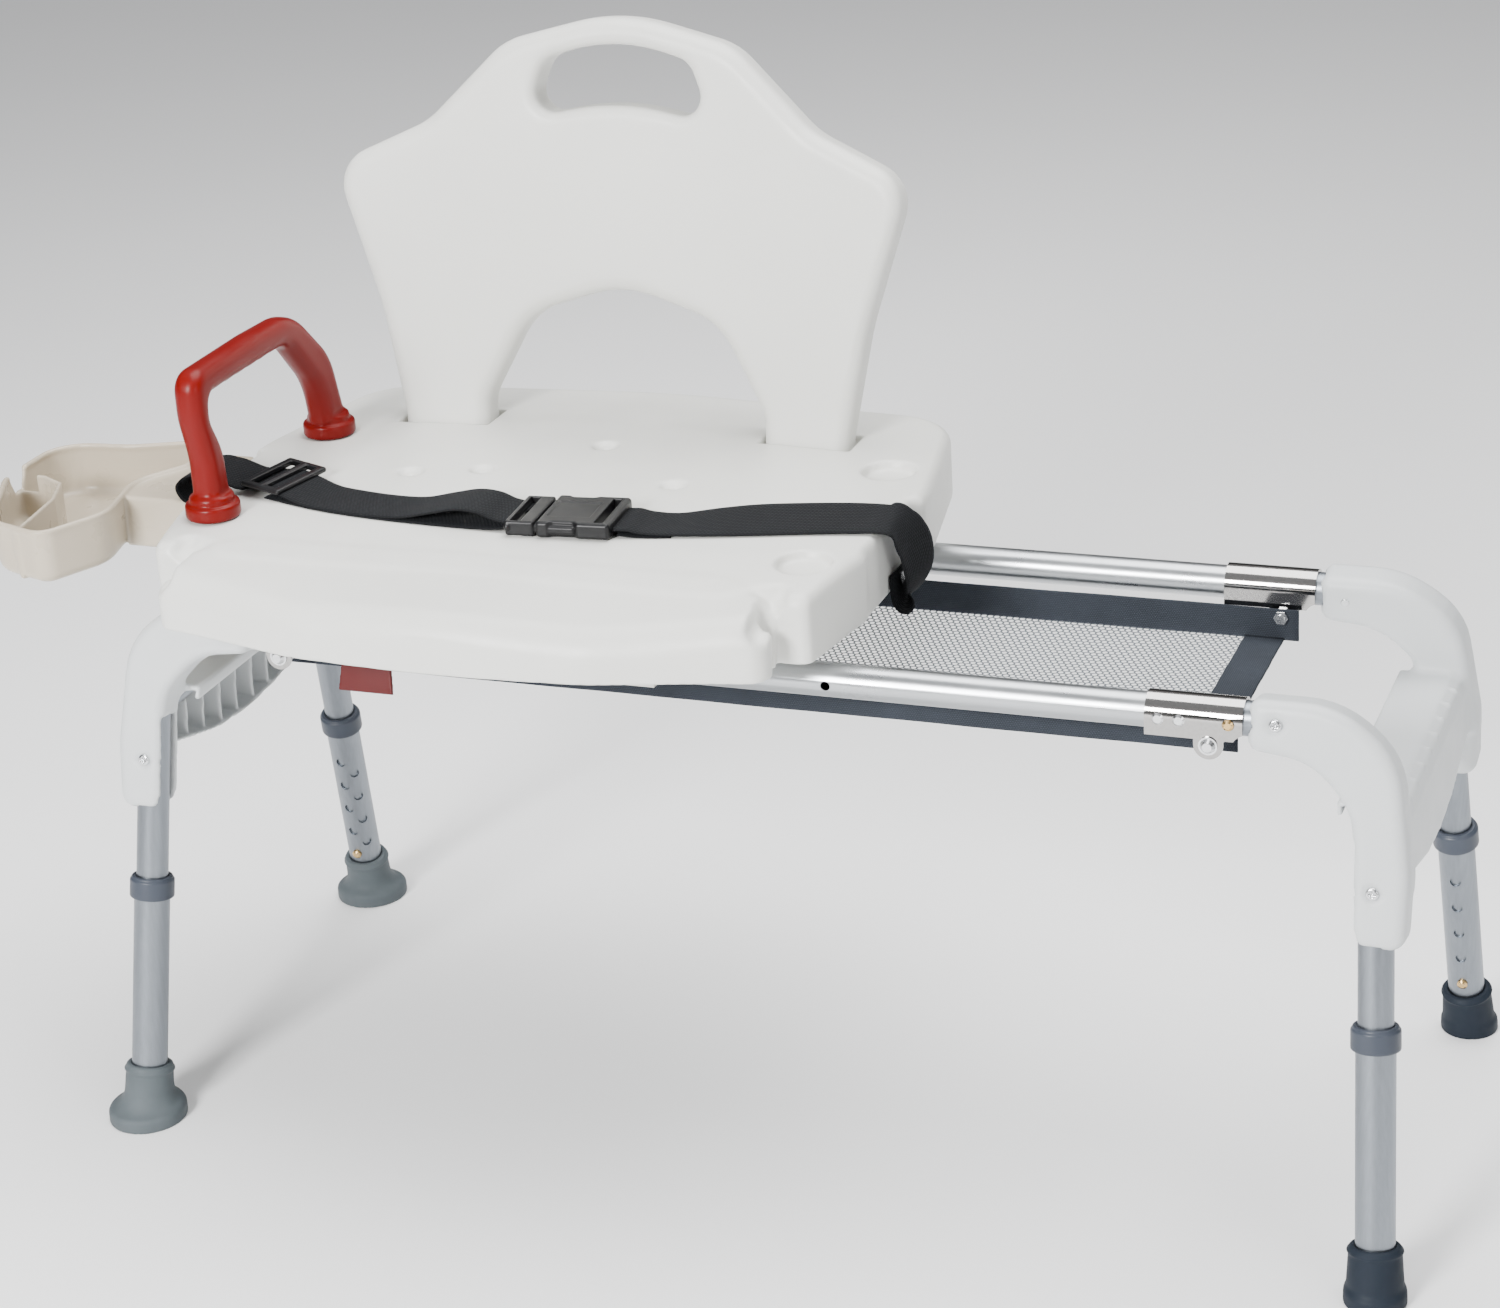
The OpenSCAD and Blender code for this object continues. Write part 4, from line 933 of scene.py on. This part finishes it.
def tape(name, path, width, flat_on, *replaced):
    """A hem: a flat band along two points, upright or lying."""
    (ax, ay, az), (bx, by, bz) = path
    count = 60
    points, uvs = [], []
    length = math.dist(path[0], path[1])
    for k in range(count + 1):
        t = k / count
        for s in (-1, -0.92, -0.5, 0, 0.5, 0.92, 1):
            wave = 0.5 * math.sin(t * 23 + s) + 0.35 * math.sin(t * 57)
            p = np.array([ax + (bx - ax) * t, ay + (by - ay) * t, az + (bz - az) * t])
            if flat_on == "side":
                p = p + np.array([0, wave * 0.6, s * width / 2])
            else:
                p = p + np.array([s * width / 2, 0, wave * 0.5])
            points.append(p)
            uvs.append((length * t * MM, s * width / 2 * MM))
    faces = [
        [k * 7 + i, k * 7 + i + 1, (k + 1) * 7 + i + 1, (k + 1) * 7 + i]
        for k in range(count)
        for i in range(6)
    ]
    obj = mesh_from(name, [(np.array(points), faces)])
    layer = obj.data.uv_layers.new(name="cloth")
    for loop in obj.data.loops:
        layer.data[loop.index].uv = uvs[loop.vertex_index]
    thick = obj.modifiers.new("thick", "SOLIDIFY")
    thick.thickness = 0.0016
    thick.offset = 0
    obj.data.materials.append(MATERIALS["tape"])
    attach(obj, "frame")
    if replaced:
        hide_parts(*replaced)
    return obj


net_material = moulded("net_thread", (0.10, 0.115, 0.13), 0.5, 1500, 0.00005, 0.0, 0.9, 0.3)
net = piece("sling_net_threads", [sling_net()], net_material, "sling_net_mesh", "frame", "sling_net")
band_y = TAPE_HIGH.y - 1.7
band_z = (TAPE_LOW.z + TAPE_HIGH.z) / 2
band_w = TAPE_HIGH.z - TAPE_LOW.z


def long_tape(name, y, *replaced):
    return tape(name, ((TAPE_LOW.x, y, band_z), (TAPE_HIGH.x, y, band_z)), band_w, "side", *replaced)


def cross_tape(name, x):
    reach, z = band_y - 1.2, TAPE_LOW.z + 1.2
    return tape(name, ((x, -reach, z), (x, reach, z)), TAPE_W, "flat")


tapes = [
    long_tape("rear_tape", band_y, "sling_binding"),
    long_tape("front_tape", -band_y),
    cross_tape("right_tape", TAPE_X),
    cross_tape("left_tape", -TAPE_X),
]


# ---- CAD nodes that stay ----

KEPT = {
    "rail": ["rails"],
    "chrome": ["hinge_brackets"],
    "zinc": [
        "bracket_rivets", "pivot_bolts", "pivot_nuts", "backrest_screws", "handle_screws",
        "slide_block_screws", "belt_rivets", "lever_pivot_pin", "lock_pin_spring",
    ],
    "natural": ["slide_blocks", "lock_housing"],
    "leg": [n for n in nodes if n.startswith("lower_leg") or n.endswith(("leg_tubes", "cross_tube"))],
    "cast": ["right_hinge_lugs", "left_hinge_lugs"],
    "brass": [n for n in nodes if "_button_" in n],
}
for look, names in KEPT.items():
    for name in names:
        mesh = nodes[name].data
        mesh.materials.clear()
        mesh.materials.append(MATERIALS[look])


# ---- floor, lights and camera ----


WORLD_STRENGTH = 0.62
WORLD_BANDS = ((0.04, 0.8), (0.1, 0.16), (0.46, 0.1), (0.62, 0.8))
LIGHTS = (
    ("key", (-0.7, -3.1, 1.8), 1.0, 225),
    ("fill", (2.7, -1.9, 1.2), 1.2, 26),
    ("top", (0.3, 0.5, 3.0), 2.4, 150),
)
AIM = Vector((0, 0, 0.35))
LENS = 79.77
CAMERA_SPOT = Vector((854.65, -2199.36, 1357.89))


def studio():
    """A pale floor, a world with one dark band for the metals to show, and three soft lights."""
    bpy.ops.mesh.primitive_plane_add(size=14, location=(0, 0, 0))
    floor = bpy.context.object
    floor.name = "floor"
    s = Shader("floor")
    s.set(Base_Color=s.mixed(s.noise(3, 2), (0.93, 0.93, 0.93), (0.95, 0.95, 0.95)), Roughness=0.75)
    floor.data.materials.append(s.material)
    world = bpy.data.worlds.new("world")
    bpy.context.scene.world = world
    world.use_nodes = True
    tree = world.node_tree
    split = tree.nodes.new("ShaderNodeSeparateXYZ")
    ramp = tree.nodes.new("ShaderNodeValToRGB")
    tree.links.new(tree.nodes.new("ShaderNodeTexCoord").outputs["Generated"], split.inputs[0])
    tree.links.new(split.outputs["Z"], ramp.inputs[0])
    tree.links.new(ramp.outputs[0], tree.nodes["Background"].inputs["Color"])
    tree.nodes["Background"].inputs["Strength"].default_value = WORLD_STRENGTH
    marks = ramp.color_ramp.elements
    marks[0].position, marks[0].color = 0.0, (1, 1, 1, 1)
    marks[1].position, marks[1].color = 1.0, (0.9, 0.92, 0.95, 1)
    for spot, level in WORLD_BANDS:
        mark = marks.new(spot)
        mark.color = (level, level, level * 1.02, 1)
    for name, spot, size, power in LIGHTS:
        light = bpy.data.lights.new(name, "AREA")
        light.size = size
        light.energy = power
        lamp = bpy.data.objects.new(name, light)
        lamp.location = spot
        lamp.rotation_euler = (AIM - lamp.location).to_track_quat("-Z", "Y").to_euler()
        bpy.context.scene.collection.objects.link(lamp)


def camera():
    """The photograph's viewpoint, in the bench's frame."""
    data = bpy.data.cameras.new("camera")
    data.sensor_width = 36
    data.lens = LENS
    data.clip_end = 30
    cam = bpy.data.objects.new("camera", data)
    forward = Vector((-0.3439, 0.8558, -0.3864)).normalized()
    right = Vector((0.9352, 0.3492, -0.0589))
    right = (right - forward * right.dot(forward)).normalized()
    up = right.cross(forward)
    turn = Matrix((right, up, -forward)).transposed().to_4x4()
    cam.matrix_world = Matrix.Translation(TO_FRAME @ CAMERA_SPOT) @ turn
    bpy.context.scene.collection.objects.link(cam)
    bpy.context.scene.camera = cam


studio()
camera()
